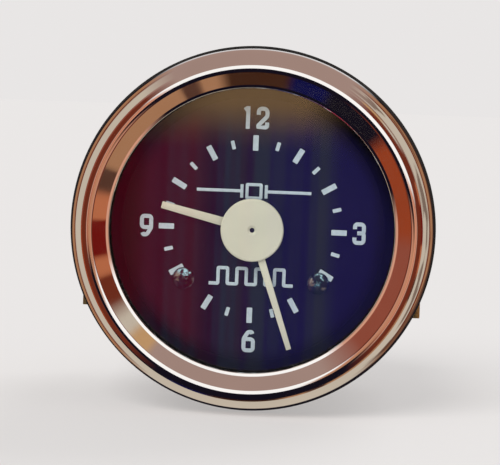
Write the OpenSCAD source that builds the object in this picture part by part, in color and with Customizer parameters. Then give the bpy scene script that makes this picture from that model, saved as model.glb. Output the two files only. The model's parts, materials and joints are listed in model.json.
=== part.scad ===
// Round dashboard clock for a 52 mm panel hole, with a 12 volt quartz movement.
// Every piece is drawn lying on its back: x to 3 o'clock, y to 12 o'clock, z towards the viewer,
// with z = 0 at the face of the panel. It is then stood up, so that the dial looks along -Y.

/* [Bezel and glass] */
// How far the case flange stands out from the case
flange_w = 2; // [1.6:0.1:3]
// Sheet thickness of the bezel
bezel_sheet = 0.6; // [0.4:0.05:0.8]
// Height of the crest above the glass
crest_rise = 2.9; // [1.8:0.1:4]
// Distance from the bezel's rim in to the crest
crest_inset = 2.6; // [2:0.1:3.4]
// Width of the flat on the crest
crest_w = 0.5; // [0.3:0.1:1]
// Width of the slope from the crest down to the lip
slope_w = 2.5; // [1.8:0.1:3]
// Width of the rolled lip round the opening
lip_w = 0.6; // [0.5:0.1:1]
// Nose radius of the rolled lip
lip_nose = 0.28; // [0.2:0.02:0.34]
// Straight height of the bezel's rim
rim_h = 1.8; // [1.2:0.1:2.6]
// How far the bezel hooks behind the case flange
hook_w = 1; // [0.6:0.1:1.2]
// Gap between the case flange and the inside of the rim
rim_gap = 1.1; // [0.6:0.1:1.4]
// Thickness of the glass
lens_t = 2; // [1.2:0.1:3]
// Play round the glass inside the flange's edge
lens_play = 0.2; // [0.1:0.05:0.4]
// Thickness of the glass gasket
gasket_t = 0.6; // [0.4:0.1:1]
// Depth of the visor ring between glass and dial
visor_h = 3.1; // [2.9:0.1:5]
// How far the visor cone narrows towards the dial
visor_taper = 1.8; // [1:0.1:2.4]
// How far the panel seal stands out beyond the bezel
seal_show = 0.5; // [0:0.1:2]
// Thickness of the panel seal
seal_t = 1.2; // [0.8:0.1:2]
// Radial play of the panel seal round the case
seal_play = 0.1; // [0.05:0.05:0.3]

/* [Case] */
// Outside diameter of the case where it passes through the panel
case_d = 51.6; // [50.6:0.1:52.4]
// Sheet thickness of the case
case_wall = 0.7; // [0.5:0.05:1]
// Depth of the case behind the panel face
case_depth = 34; // [32:0.5:44]
// Length of the full diameter behind the panel face
spigot_l = 14; // [10:0.5:20]
// Radial depth of the neck that holds the seal
neck_step = 0.5; // [0.3:0.05:0.7]
// Radial step down to the rear part of the case
rear_step = 0.8; // [0.5:0.1:1.2]
// Radius of the rounded edge at the back
back_edge_r = 1.6; // [1:0.1:2.4]

/* [Dial and hands] */
// Thickness of the dial
dial_t = 0.8; // [0.5:0.1:1.2]
// Radial play of dial and visor in the case neck
dial_play = 0.2; // [0.1:0.05:0.4]
// Hole in the dial for the hour pipe, beyond the pipe itself
pipe_play = 0.3; // [0.2:0.05:0.6]
// Distance of the dial screws to the side of the centre
screw_x = 11.1; // [9.5:0.1:12.5]
// Distance of the dial screws below the centre
screw_drop = 8.5; // [7:0.1:10]
// Head diameter of a dial screw
screw_head_d = 3.66; // [3:0.02:4]
// Head height of a dial screw
screw_head_h = 0.8; // [0.5:0.1:0.8]
// Shank diameter of a dial screw
screw_d = 1.6; // [1.2:0.1:1.8]
// Height of the hour hand above the dial
hour_lift = 1.1; // [1.1:0.1:1.4]
// Thickness of the blade of each hand
hand_t = 0.3; // [0.2:0.05:0.35]
// Gap between the two hands
hand_gap = 0.4; // [0.3:0.05:0.5]
// Gap from the tip of the minute hand to the visor ring
minute_gap = 1.14; // [0.8:0.02:4]
// How much shorter the hour hand is than the minute hand
hour_short = 5.1; // [3:0.1:8]
// Width of the hour hand at the hub
hour_w = 1.55; // [1.2:0.05:2]
// Width of the hour hand at the tip
hour_tip_w = 1.15; // [0.6:0.05:1.6]
// Width of the minute hand at the hub
minute_w = 1.35; // [1:0.05:1.8]
// Width of the minute hand at the tip
minute_tip_w = 0.85; // [0.5:0.05:1.2]
// Diameter of the hub cap
hub_d = 10.3; // [8:0.1:12]
// Thickness of the hub cap
hub_t = 0.5; // [0.3:0.05:0.6]
// Diameter of the hole in the hub cap
hub_hole_d = 0.7; // [0.4:0.1:1]
// Diameter of the dimple round the hole
hub_dimple_d = 1.3; // [1.1:0.1:2]
// Hour shown
show_hour = 9; // [0:1:11]
// Minute shown
show_minute = 26.8; // [0:0.1:59.9]

/* [Movement] */
// Length of the posts between dial and main plate
post_l = 3; // [3:0.1:4]
// Diameter of a dial post
post_d = 3.2; // [2.8:0.1:3.6]
// Thickness of the two plates
plate_t = 1.2; // [0.8:0.1:1.6]
// Diameter of the main plate
main_plate_d = 42; // [40:0.5:44]
// Diameter of the back plate
back_plate_d = 42; // [40:0.5:44]
// Thickness of every wheel
gear_t = 0.6; // [0.4:0.05:0.7]
// Free height between two levels of wheels
level_gap = 0.6; // [0.5:0.05:0.8]
// Height kept for the motor behind the wheels
motor_space = 2.2; // [2:0.1:3]
// Module of the wheels between the plates
train_module = 0.2; // [0.18:0.005:0.21]
// Module of the wheels under the dial
motion_module = 0.25; // [0.23:0.005:0.26]
// Diameter of the arbors of the small wheels
arbor_d = 0.9; // [0.8:0.05:1]
// Diameter of the arbors' pivots
pivot_d = 0.7; // [0.5:0.05:0.75]
// Radial clearance of every running fit
run_clear = 0.04; // [0.02:0.01:0.06]
// Radial clearance of every fixed fit
seat_clear = 0.02; // [0.01:0.01:0.05]
// Free play of an arbor along its length, at each end
end_shake = 0.1; // [0.05:0.05:0.2]
// Diameter of the minute arbor
minute_arbor_d = 1.6; // [1.4:0.1:1.7]
// Wall of the hour pipe
pipe_wall = 0.56; // [0.4:0.02:0.7]
// Diameter of the post under the minute wheel
wheel_post_d = 1.2; // [1:0.1:1.3]
// Diameter of the plate pillars
pillar_d = 3; // [2.6:0.1:3.4]
// Diameter of the plate screws
plate_screw_d = 1.2; // [1:0.1:1.4]
// Head diameter of the plate screws
plate_head_d = 2.6; // [2.2:0.1:3]
// Head height of the plate screws
plate_head_h = 0.7; // [0.5:0.1:0.9]

/* [Motor] */
// Diameter of the rotor magnet
rotor_d = 5.6; // [4.6:0.1:6]
// Height of the rotor magnet
rotor_h = 1.8; // [1:0.1:2]
// Air gap between rotor and stator
air_gap = 0.4; // [0.3:0.05:0.6]
// Thickness of the stator and of the coil core
stator_t = 0.8; // [0.6:0.1:1]
// Outside diameter of the stator ring
stator_d = 9; // [8.4:0.1:9.6]
// Gap between the stator ring and the coil
coil_gap = 0.3; // [0.2:0.05:0.6]
// Length of the coil core
core_l = 20; // [18:0.5:21]
// Width of the coil core
core_w = 2.4; // [2:0.1:2.8]
// Length of the winding between the bobbin's flanges
winding_l = 11; // [8:0.5:12]
// Diameter of the winding
winding_d = 4.4; // [4:0.1:4.6]
// Wall of the bobbin
bobbin_wall = 0.4; // [0.3:0.05:0.5]
// Clearance of the motor from the back plate
motor_clear = 0.3; // [0.2:0.05:0.5]

/* [Circuit board] */
// Diameter of the board's rounded edge
board_d = 38; // [37.4:0.2:44]
// Thickness of the board
board_t = 1.4; // [0.8:0.1:1.6]
// Gap between back plate and board
board_gap = 2; // [1.4:0.1:3]
// Diameter of a board spacer
spacer_d = 2.8; // [2.2:0.1:3]
// Diameter of the crystal's can
crystal_d = 3; // [2:0.1:3.2]
// Length of the crystal's can
crystal_l = 8; // [6:0.5:9]
// Side of the driver chip
chip_side = 5; // [4:0.5:6]
// Height of the driver chip
chip_h = 1.6; // [1:0.1:2]
// Diameter of the capacitor
capacitor_d = 6; // [4:0.2:6.4]
// Height of the capacitor
capacitor_h = 8; // [5:0.5:11]
// Diameter of the diode
diode_d = 2.2; // [1.6:0.1:2.6]
// Length of the diode
diode_l = 4.5; // [3:0.5:5]

/* [Rear fittings] */
// Distance of the two studs to the side of the centre
stud_x = 13; // [12:0.25:15]
// Distance of the two studs below the centre
stud_drop = 8; // [7.5:0.25:9]
// Diameter of the studs
stud_d = 4; // [3.5:0.1:4.5]
// Length of a stud behind the case
stud_l = 22; // [19:0.5:28]
// Diameter of the spacer part of a stud, inside the case
stud_spacer_d = 6; // [5.4:0.1:6.4]
// Width across the flats of the stud nuts
nut_af = 7; // [6.5:0.1:8]
// Thickness of the stud nuts
nut_t = 2.2; // [1.6:0.1:3]
// Diameter of the thumb nuts
thumb_d = 10; // [8:0.25:10.5]
// Height of the thumb nuts
thumb_h = 5; // [4:0.25:7]
// Number of grooves round a thumb nut
thumb_grooves = 20; // [12:2:28]
// Outside diameter of the lock washers
washer_d = 8; // [7:0.25:9]
// Thickness of the lock washers
washer_t = 0.6; // [0.4:0.1:1]
// Width of the bracket's strap
strap_w = 12.4; // [10:0.2:13]
// Thickness of the bracket's strap
strap_t = 1.5; // [1.2:0.1:2]
// Gap between the case and the bracket's legs
leg_gap = 1; // [0.9:0.05:1.6]
// Gap left between panel face and the bracket's feet
foot_gap = 5; // [4:0.25:8]
// Gap between the back of the case and the bracket's bar
bar_gap = 9; // [6:0.25:10]
// Outer bend radius of the bracket
bend_r = 3; // [2:0.25:4]
// Radial clearance of the bracket's holes on the studs
bracket_clear = 0.25; // [0.15:0.05:0.5]
// Diameter of the setting knob
knob_d = 10; // [8:0.25:11]
// Length of the setting knob
knob_l = 8; // [6:0.25:12]
// Gap between the setting knob and its bush
knob_gap = 1; // [0.5:0.1:2]
// Number of grooves round the setting knob
knob_grooves = 16; // [10:2:24]
// Diameter of the setting shaft
shaft_d = 2; // [1.6:0.1:2.2]
// Wall of the setting shaft's bush
bush_wall = 0.8; // [0.5:0.1:1]
// Flange width of the bush
bush_flange = 1; // [0.6:0.1:1.4]
// Thickness of the bush's flanges
bush_t = 0.7; // [0.5:0.1:1]
// Width of the terminal blades
blade_w = 6.3; // [4.8:0.1:6.5]
// Thickness of the terminal blades
blade_t = 0.8; // [0.6:0.05:1]
// Length of the blades outside the insulator
blade_l = 8.5; // [6:0.5:11]
// Distance of the blades to the side of the centre
blade_x = 14; // [12.5:0.25:14.5]
// Distance of the blades above the centre
blade_y = 5; // [3:0.25:6]
// Chamfer at the tip of a blade
blade_chamfer = 1; // [0.5:0.1:1.5]
// Diameter of the catch hole in a blade
blade_hole_d = 1.7; // [1.2:0.1:2]
// Distance of the catch hole from the blade's tip
blade_hole_up = 4.2; // [3:0.1:5]
// Distance between the two blades
blade_pitch = 6; // [5:0.25:6.5]
// Width of the blades' tails inside the case
tail_w = 2; // [1.5:0.1:2.4]
// Thickness of the insulator outside the case
insulator_t = 1.5; // [1:0.1:2.5]
// Distance of the bulb holder to the side of the centre
holder_x = 13.5; // [12.5:0.25:14.5]
// Distance of the bulb holder above the centre
holder_y = 6; // [5:0.25:7]
// Diameter of the bulb holder's hole
holder_d = 10; // [9:0.25:11]
// Width of the bulb holder's flange
holder_flange = 1.6; // [1:0.1:1.9]
// Depth of the bulb holder inside the case
holder_depth = 5; // [3:0.25:6]
// Length of the bulb holder's grip
grip_l = 5; // [3:0.25:8]
// Diameter of the bulb's glass
bulb_d = 6.8; // [5:0.2:7.4]
// Length of the bulb's glass
bulb_l = 7; // [5:0.25:8]

/* [Hidden] */
$fn = 96;

// Tooth counts
centre_teeth = 64;
third_teeth = 60;
third_pinion = 8;
second_teeth = 60;
second_pinion = 8;
inter_teeth = 50;
inter_pinion = 10;
rotor_teeth = 10;
cannon_teeth = 12;
minute_teeth = 36;
minute_pinion = 10;
hour_teeth = 40;
set_teeth = 12;

// Directions in which the train steps from arbor to arbor
third_dir = 150;
second_dir = 230;
inter_dir = 300;
rotor_dir = 340;

// Tooth form, in modules and in shares of a tooth's pitch
addendum = 0.85;
dedendum = 1.15;
tooth_share = 0.4;
wheel_root_share = 0.5;
pinion_root_share = 0.36;
tip_share = 0.16;

// Radii and heights at the front
case_r = case_d / 2;
flange_r = case_r + flange_w;
bezel_r = flange_r + rim_gap + bezel_sheet;
seal_r = bezel_r + seal_show;
hook_r = flange_r - hook_w;
flange_back = seal_t + bezel_sheet;
flange_front = flange_back + case_wall;
lens_rear = flange_front + gasket_t;
lens_front = lens_rear + lens_t;
lens_r = flange_r - lens_play;
rim_top = seal_t + rim_h;
crest_r = bezel_r - crest_inset;
crest_z = lens_front + crest_rise;
lip_h = 2 * lip_nose;
lip_out = crest_r - crest_w - slope_w;
opening_r = lip_out - lip_w;
visor_r = opening_r + lip_nose / 2;
view_r = visor_r - visor_taper;
roll_rise = crest_z - rim_top;
roll_r = (crest_inset * crest_inset + roll_rise * roll_rise) / (2 * crest_inset);
slope = atan2(crest_z - lens_front - lip_h, crest_r - crest_w - lip_out);

// Radii and heights of the case
neck_r = case_r - neck_step;
neck_in = neck_r - case_wall;
rear_r = case_r - rear_step;
back_out = -case_depth;
back_in = back_out + case_wall;

// Heights of dial, hands and movement
dial_front = lens_rear - visor_h;
dial_back = dial_front - dial_t;
dial_r = neck_in - dial_play;
main_front = dial_back - post_l;
main_rear = main_front - plate_t;
level_step = gear_t + level_gap;
back_front = level_top(5) - motor_space;
back_rear = back_front - plate_t;
hour_z = dial_front + hour_lift;
minute_z = hour_z + hand_t + hand_gap;
hub_z = minute_z + hand_t;
minute_l = view_r - minute_gap;
hour_l = minute_l - hour_short;
motion_lift = 0.9;
motion_step = 1;
motion_t = 0.5;
motion_low = main_front + motion_lift;
motion_high = motion_low + motion_step;

// Radii of the central stack
minute_arbor_r = minute_arbor_d / 2;
pipe_in = minute_arbor_r + run_clear;
pipe_r = pipe_in + pipe_wall;

// Places across the dial
screw_places = [[-screw_x, -screw_drop], [screw_x, -screw_drop]];
low_pillar_x = 12.6;
low_pillar_drop = 13.8;
high_pillar_x = 10.5;
high_pillar_up = 13;
pillar_places = [
    [-low_pillar_x, -low_pillar_drop], [low_pillar_x, -low_pillar_drop],
    [-high_pillar_x, high_pillar_up], [high_pillar_x, high_pillar_up]
];
high_spacer_x = 6.5;
high_spacer_up = 15.6;
side_spacer_x = 15.5;
side_spacer_drop = 0.5;
spacer_places = [
    [-high_spacer_x, high_spacer_up], [high_spacer_x, high_spacer_up],
    [-side_spacer_x, -side_spacer_drop], [side_spacer_x, -side_spacer_drop]
];
stud_places = [[-stud_x, -stud_drop], [stud_x, -stud_drop]];
motion_distance = motion_module * (cannon_teeth + minute_teeth) / 2;
hour_module = 2 * motion_distance / (minute_pinion + hour_teeth);
minute_place = [0, motion_distance];
set_place = [0, motion_distance + motion_module * (minute_teeth + set_teeth) / 2];
third_place = step_to([0, 0], centre_teeth + third_pinion, third_dir);
second_place = step_to(third_place, third_teeth + second_pinion, second_dir);
inter_place = step_to(second_place, second_teeth + inter_pinion, inter_dir);
rotor_place = step_to(inter_place, inter_teeth + rotor_teeth, rotor_dir);
coil_drop = stator_d / 2 + coil_gap + winding_d / 2 - rotor_place.y;
coil_place = [0, -coil_drop];
core_places = [[-core_l / 2 + core_w / 2, -coil_drop], [core_l / 2 - core_w / 2, -coil_drop]];
blade_places = [[blade_x - blade_pitch / 2, blade_y], [blade_x + blade_pitch / 2, blade_y]];
blade_middle = [blade_x, blade_y];
holder_place = [-holder_x, holder_y];
crystal_place = [-5, 0];
chip_place = [-4.5, 6.5];
capacitor_place = [8.2, 10.6];
diode_place = [5.2, 0];

// Heights of the motor and the board
coil_z = back_front + winding_d / 2 + motor_clear;
stator_front = coil_z - stator_t / 2;
stator_rear = stator_front - stator_t;
rotor_z = stator_front - stator_t / 2;
board_front = back_rear - board_gap;
board_rear = board_front - board_t;
board_clear = 2;
board_low = -stud_drop + stud_spacer_d / 2 + board_clear;

// Heights behind the case
bar_front = back_out - bar_gap;
bar_rear = bar_front - strap_t;
nut_front = bar_rear - washer_t;
leg_in = case_r + leg_gap;
leg_out = leg_in + strap_t;
stud_end = back_out - stud_l;
knob_front = back_out - bush_t - knob_gap;

// Small shared details
shank_l = 2;
thread_depth = 2.4;
thread_clear = 0.05;
clutch_collar_t = 0.4;
clutch_spring_t = 0.3;
clutch_rise = 0.35;
clutch_reach = 0.9;
clutch_lip = 0.4;
collet_wall = 0.7;
collet_gap = 0.4;
boss_wall = 1.4;
rivet_h = 0.5;
rivet_share = 0.84;
collar_share = 0.72;
bore_share = 0.75;
insulator_in = 1;
insulator_flange = 1.1;
block_side = 2;
block_end = 0.7;
holder_flange_t = 1.2;
grip_share = 0.84;
base_share = 0.74;
base_gap = 0.6;
eye_grow = 0.15;
cut = 0.5;

// Rest angles of the wheels, so that every pair of teeth is in mesh
cannon_turn = 0;
minute_wheel_turn = mesh(90, cannon_turn, cannon_teeth, minute_teeth);
hour_wheel_turn = mesh(270, minute_wheel_turn, minute_pinion, hour_teeth);
set_turn = mesh(90, minute_wheel_turn, minute_teeth, set_teeth);
centre_turn = 0;
third_turn = mesh(third_dir, centre_turn, centre_teeth, third_pinion);
second_turn = mesh(second_dir, third_turn, third_teeth, second_pinion);
inter_turn = mesh(inter_dir, second_turn, second_teeth, inter_pinion);
rotor_turn = mesh(rotor_dir, inter_turn, inter_teeth, rotor_teeth);

// Top of a level of wheels, counted from the main plate
function level_top(n) = main_rear - level_gap - (n - 1) * level_step;

// Next arbor of the train, at the distance that the two tooth counts give
function step_to(from, teeth, dir) = from + train_module * teeth / 2 * [cos(dir), sin(dir)];

// Turn of a driven wheel that puts a gap where the driver has a tooth
function mesh(dir, turn, teeth, driven) = dir + 180 + 180 / driven - (turn - dir) * teeth / driven;

// Outline of a toothed wheel or pinion
function tooth_points(teeth, module_size, root_share) =
    let (pitch_r = module_size * teeth / 2)
    let (root_r = pitch_r - dedendum * module_size)
    let (tip_r = pitch_r + addendum * module_size)
    let (pitch = 360 / teeth)
    let (half = [[root_r, root_share / 2], [pitch_r, tooth_share / 2], [tip_r, tip_share / 2]])
    [
        for (i = [0 : teeth - 1])
            for (k = [0 : 5])
                let (p = k < 3 ? half[k] : half[5 - k])
                let (a = pitch * (i + (k < 3 ? -p[1] : p[1])))
                p[0] * [cos(a), sin(a)]
    ];

// Stands a piece up, with its dial side towards -Y
module upright() {
    rotate([90, 0, 0]) children();
}

// Puts a copy at each place, at the height z
module each_at(places, z = 0) {
    for (p = places)
        translate([p.x, p.y, z]) children();
}

// Puts a piece at one place
module at(p, z = 0) {
    translate([p.x, p.y, z]) children();
}

// Solid disc from one height to another
module disc(r, low, high) {
    translate([0, 0, low]) cylinder(r = r, h = high - low);
}

// Ring from one height to another
module ring(outer, inner, low, high) {
    difference() {
        disc(outer, low, high);
        disc(inner, low - cut, high + cut);
    }
}

// Toothed disc from one height to another
module toothed(teeth, module_size, root_share, turn, low, high) {
    translate([0, 0, low])
        rotate([0, 0, turn])
            linear_extrude(high - low) polygon(tooth_points(teeth, module_size, root_share));
}

// Wheel of the train on its level
module train_wheel(teeth, turn, level) {
    toothed(teeth, train_module, wheel_root_share, turn, level_top(level) - gear_t, level_top(level));
}

// Pinion of the train on its level, a little longer than the wheel it meets
module train_pinion(teeth, turn, level) {
    over = level_gap / 4;
    top = level_top(level) + over;
    toothed(teeth, train_module, pinion_root_share, turn, top - gear_t - 2 * over, top);
}

// Arbor between the plates, with a pivot in each
module train_arbor() {
    disc(arbor_d / 2, back_front + end_shake, main_rear - end_shake);
    disc(pivot_d / 2, back_rear + end_shake, main_front - end_shake);
}

// Screw with a slotted cheese head above z = 0 and a shank below it
module slotted_screw(head_d, head_h, shank_d, length) {
    slot_w = head_d / 5;
    difference() {
        union() {
            cylinder(d = head_d, h = head_h);
            translate([0, 0, -length]) cylinder(d = shank_d, h = length);
        }
        translate([-head_d, -slot_w / 2, head_h / 2]) cube([2 * head_d, slot_w, head_h]);
    }
}

// Disc with round grooves cut along its edge
module grooved(d, low, high, grooves) {
    groove_r = 0.8 * PI * d / grooves / 4;
    difference() {
        disc(d / 2, low, high);
        for (i = [0 : grooves - 1])
            rotate([0, 0, i * 360 / grooves])
                translate([d / 2, 0, low - cut]) cylinder(r = groove_r, h = high - low + 2 * cut, $fn = 24);
    }
}

// Bezel: spun sheet with a rolled rim, a flat crest and a cone down to the lip
module bezel() {
    color("gainsboro") upright() rotate_extrude() difference() {
        union() {
            intersection() {
                bezel_roll(0);
                polygon([
                    [hook_r, seal_t], [bezel_r, seal_t], [bezel_r, crest_z],
                    [crest_r - crest_w, crest_z], [lip_out, lens_front + lip_h],
                    [opening_r + lip_nose, lens_front + lip_h], [opening_r + lip_nose, lens_front],
                    [hook_r, lens_front]
                ]);
            }
            translate([opening_r + lip_nose, lens_front + lip_nose]) circle(r = lip_nose, $fn = 32);
        }
        bezel_hollow();
    }
}

// Convex outside of the bezel's section, moved in by the depth
module bezel_roll(depth) {
    translate([bezel_r - roll_r, rim_top]) circle(r = roll_r - depth);
    translate([0, seal_t]) square([bezel_r - depth, rim_h]);
}

// Hollow behind the bezel's sheet
module bezel_hollow() {
    cone_low = lip_out + bezel_sheet * sin(slope) - (lip_h - bezel_sheet * cos(slope)) / tan(slope);
    under_crest = crest_z - bezel_sheet;
    intersection() {
        bezel_roll(bezel_sheet);
        polygon([
            [hook_r - cut, lens_front], [cone_low, lens_front],
            [cone_low + (under_crest - lens_front) / tan(slope), under_crest],
            [bezel_r, under_crest], [bezel_r, flange_back], [hook_r - cut, flange_back]
        ]);
    }
}

// Flat glass
module lens() {
    color("lightcyan") upright() disc(lens_r, lens_rear, lens_front);
}

// Gasket between case flange and glass
module lens_gasket() {
    color("dimgray") upright() ring(lens_r, neck_in, flange_front, lens_rear);
}

// Black cone between glass and dial
module visor_ring() {
    color("black") upright() rotate_extrude() polygon([
        [dial_r, dial_front], [dial_r, lens_rear], [visor_r, lens_rear], [view_r, dial_front]
    ]);
}

// Ring that seals the bezel to the panel, with a rib that snaps into the case neck
module panel_seal() {
    color("black") upright() rotate_extrude() polygon([
        [case_r + seal_play, 0], [seal_r, 0], [seal_r, seal_t], [neck_r + seal_play, seal_t],
        [neck_r + seal_play, seal_t / 2], [case_r + seal_play, seal_t / 2]
    ]);
}

// Drawn can with a flange at the front and the openings of the rear fittings
module case() {
    inner_edge = back_edge_r - case_wall;
    color("silver") upright() difference() {
        rotate_extrude() difference() {
            union() {
                translate([neck_in, flange_back]) square([flange_r - neck_in, case_wall]);
                translate([0, -case_wall]) square([neck_r, flange_front + case_wall]);
                translate([0, -spigot_l]) square([case_r, spigot_l]);
                rounded_back(rear_r, back_out, back_edge_r);
            }
            translate([0, -spigot_l]) square([neck_in, spigot_l + flange_front + cut]);
            translate([0, case_wall - spigot_l]) square([case_r - case_wall, spigot_l - 2 * case_wall]);
            rounded_back(rear_r - case_wall, back_in, inner_edge);
        }
        each_at(stud_places, back_out - cut) cylinder(d = stud_d + 2 * thread_clear, h = case_wall + 2 * cut);
        at(set_place, back_out - cut) cylinder(r = bush_r() + seat_clear, h = case_wall + 2 * cut);
        at(holder_place, back_out - cut) cylinder(d = holder_d, h = case_wall + 2 * cut);
        at(blade_middle) boss_block(seat_clear, back_out - cut, back_in + cut);
    }
}

// Half section of the rear part of the can, with a rounded edge
module rounded_back(r, z, edge) {
    translate([0, z]) square([r - edge, case_depth - spigot_l]);
    translate([0, z + edge]) square([r, -spigot_l + case_wall - z - edge]);
    translate([r - edge, z + edge]) circle(r = edge, $fn = 48);
}

// Outside radius of the setting shaft's bush
function bush_r() = shaft_d / 2 + run_clear + bush_wall;

// Dial with its pipe hole and screw holes
module dial() {
    color([0.05, 0.05, 0.06]) upright() difference() {
        disc(dial_r, dial_back, dial_front);
        disc(pipe_r + pipe_play, dial_back - cut, dial_front + cut);
        each_at(screw_places, dial_back - cut) cylinder(d = screw_d + 4 * thread_clear, h = dial_t + 2 * cut);
    }
}

// Two domed screws with a cross recess
module dial_screws() {
    shoulder_d = 0.76 * screw_head_d;
    recess_d = 0.41 * screw_head_d;
    recess_w = recess_d / 3;
    color([0.08, 0.08, 0.08]) upright() each_at(screw_places, dial_front) difference() {
        union() {
            cylinder(d = screw_head_d, h = screw_head_h / 2);
            cylinder(d = shoulder_d, h = screw_head_h);
            translate([0, 0, -dial_t - shank_l]) cylinder(d = screw_d, h = dial_t + shank_l);
        }
        for (a = [45, 135])
            translate([0, 0, screw_head_h])
                rotate([0, 0, a]) cube([recess_d, recess_w, screw_head_h], center = true);
    }
}

// Tapered blade that points to 12 o'clock
module blade(length, hub_w, tip_w) {
    polygon([[-hub_w / 2, 0], [hub_w / 2, 0], [tip_w / 2, length], [-tip_w / 2, length]]);
}

// Hour hand on its collet
module hour_hand() {
    collet_r = pipe_r + collet_wall;
    collet_low = dial_front + collet_gap;
    color([0.9, 0.89, 0.8]) upright() rotate([0, 0, -30 * (show_hour + show_minute / 60)]) difference() {
        union() {
            translate([0, 0, hour_z]) linear_extrude(hand_t) blade(hour_l, hour_w, hour_tip_w);
            disc(collet_r, collet_low, hour_z + hand_t);
        }
        disc(pipe_r + seat_clear, collet_low - cut, hour_z + hand_t + cut);
    }
}

// Minute hand
module minute_hand() {
    boss_r = minute_arbor_r + boss_wall;
    color([0.9, 0.89, 0.8]) upright() rotate([0, 0, -6 * show_minute]) difference() {
        union() {
            translate([0, 0, minute_z]) linear_extrude(hand_t) blade(minute_l, minute_w, minute_tip_w);
            disc(boss_r, minute_z, hub_z);
        }
        disc(minute_arbor_r + seat_clear, minute_z - cut, hub_z + cut);
    }
}

// Hub cap with a dimple and a small hole
module hub_cap() {
    edge = 0.4 * hub_t;
    dimple = 0.4 * hub_t;
    color([0.9, 0.89, 0.8]) upright() rotate_extrude() polygon([
        [hub_hole_d / 2, hub_z], [hub_d / 2, hub_z], [hub_d / 2, hub_z + hub_t - edge],
        [hub_d / 2 - edge, hub_z + hub_t], [hub_dimple_d / 2, hub_z + hub_t],
        [hub_hole_d / 2, hub_z + hub_t - dimple]
    ]);
}

// Front plate of the movement
module main_plate() {
    color("khaki") upright() difference() {
        disc(main_plate_d / 2, main_rear, main_front);
        translate([0, 0, main_rear - cut]) {
            depth = plate_t + 2 * cut;
            cylinder(r = minute_arbor_r + run_clear, h = depth);
            each_at(screw_places) cylinder(d = post_d / 2 + 2 * seat_clear, h = depth);
            at(minute_place) cylinder(d = wheel_post_d + 2 * seat_clear, h = depth);
            at(set_place) cylinder(d = shaft_d + 2 * run_clear, h = depth);
            each_at(pillar_places) cylinder(d = plate_screw_d + 4 * thread_clear, h = depth);
            train_pivot_holes(depth);
        }
    }
}

// Pivot holes of the four small arbors
module train_pivot_holes(depth) {
    each_at([third_place, second_place, inter_place, rotor_place])
        cylinder(d = pivot_d + 2 * run_clear, h = depth);
}

// Rear plate of the movement, with two bosses for the motor
module back_plate() {
    color("khaki") upright() difference() {
        union() {
            disc(back_plate_d / 2, back_rear, back_front);
            each_at(core_places, back_front - cut) cylinder(d = core_w, h = stator_rear - back_front + cut);
        }
        translate([0, 0, back_rear - cut]) {
            depth = plate_t + 2 * cut;
            cylinder(d = pivot_d + 2 * run_clear, h = depth);
            at(set_place) cylinder(d = shaft_d + 8 * thread_clear, h = depth);
            each_at(pillar_places) cylinder(d = plate_screw_d + 4 * thread_clear, h = depth);
            each_at(stud_places) cylinder(d = stud_d / 2 + 2 * seat_clear, h = depth);
            each_at(spacer_places) cylinder(d = spacer_d / 2 + 2 * seat_clear, h = depth);
            train_pivot_holes(depth);
        }
        each_at(core_places, stator_rear - shank_l) cylinder(d = plate_screw_d + 2 * thread_clear, h = shank_l + cut);
    }
}

// Posts that carry the dial
module dial_posts() {
    color("goldenrod") upright() each_at(screw_places) difference() {
        union() {
            disc(post_d / 2, main_front, dial_back);
            disc(post_d / 4, main_rear, main_front + cut);
        }
        disc(screw_d / 2 + thread_clear, dial_back - thread_depth, dial_back + cut);
    }
}

// Pillars between the plates
module plate_pillars() {
    color("goldenrod") upright() each_at(pillar_places) difference() {
        disc(pillar_d / 2, back_front, main_rear);
        disc(plate_screw_d / 2 + thread_clear, back_front - cut, back_front + thread_depth);
        disc(plate_screw_d / 2 + thread_clear, main_rear - thread_depth, main_rear + cut);
    }
}

// Screws of the pillars, at the front and the rear
module plate_screws() {
    color("silver") upright() {
        each_at(pillar_places, main_front)
            slotted_screw(plate_head_d, plate_head_h, plate_screw_d, plate_t + shank_l);
        each_at(pillar_places, back_rear)
            mirror([0, 0, 1]) slotted_screw(plate_head_d, plate_head_h, plate_screw_d, plate_t + shank_l);
    }
}

// Minute arbor with its cannon pinion and the collar of the clutch
module minute_arbor() {
    collar_top = level_top(1) - gear_t - clutch_rise - clutch_spring_t;
    color("darkgray") upright() {
        disc(minute_arbor_r, back_front + end_shake, hub_z);
        disc(pivot_d / 2, back_rear + end_shake, back_front + cut);
        disc(2 * minute_arbor_r, collar_top - clutch_collar_t, collar_top);
        toothed(cannon_teeth, motion_module, pinion_root_share, cannon_turn, motion_low - motion_t, motion_low);
    }
}

// Dished washer that presses the centre wheel's drive on the arbor
module clutch_spring() {
    outer = 2 * minute_arbor_r + clutch_reach;
    low = level_top(1) - gear_t - clutch_rise - clutch_spring_t;
    high = level_top(1) - gear_t - run_clear;
    color("peru") upright() rotate_extrude() polygon([
        [pipe_in, low], [outer - clutch_lip, low], [outer, high - clutch_spring_t], [outer, high],
        [outer - clutch_lip, high], [outer - 2 * clutch_lip, low + clutch_spring_t],
        [pipe_in, low + clutch_spring_t]
    ]);
}

// Minute wheel and its pinion, under the dial
module minute_wheel() {
    color("whitesmoke") upright() at(minute_place) difference() {
        union() {
            toothed(minute_teeth, motion_module, wheel_root_share, minute_wheel_turn, motion_low - motion_t, motion_low);
            toothed(minute_pinion, hour_module, pinion_root_share, minute_wheel_turn, motion_low, motion_high);
            disc(wheel_post_d, main_front + end_shake, motion_low);
        }
        disc(wheel_post_d / 2 + run_clear, main_front, motion_high + cut);
    }
}

// Post that the minute wheel turns on
module minute_wheel_post() {
    color("darkgray") upright() at(minute_place) disc(wheel_post_d / 2, main_rear, motion_high + cut);
}

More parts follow.
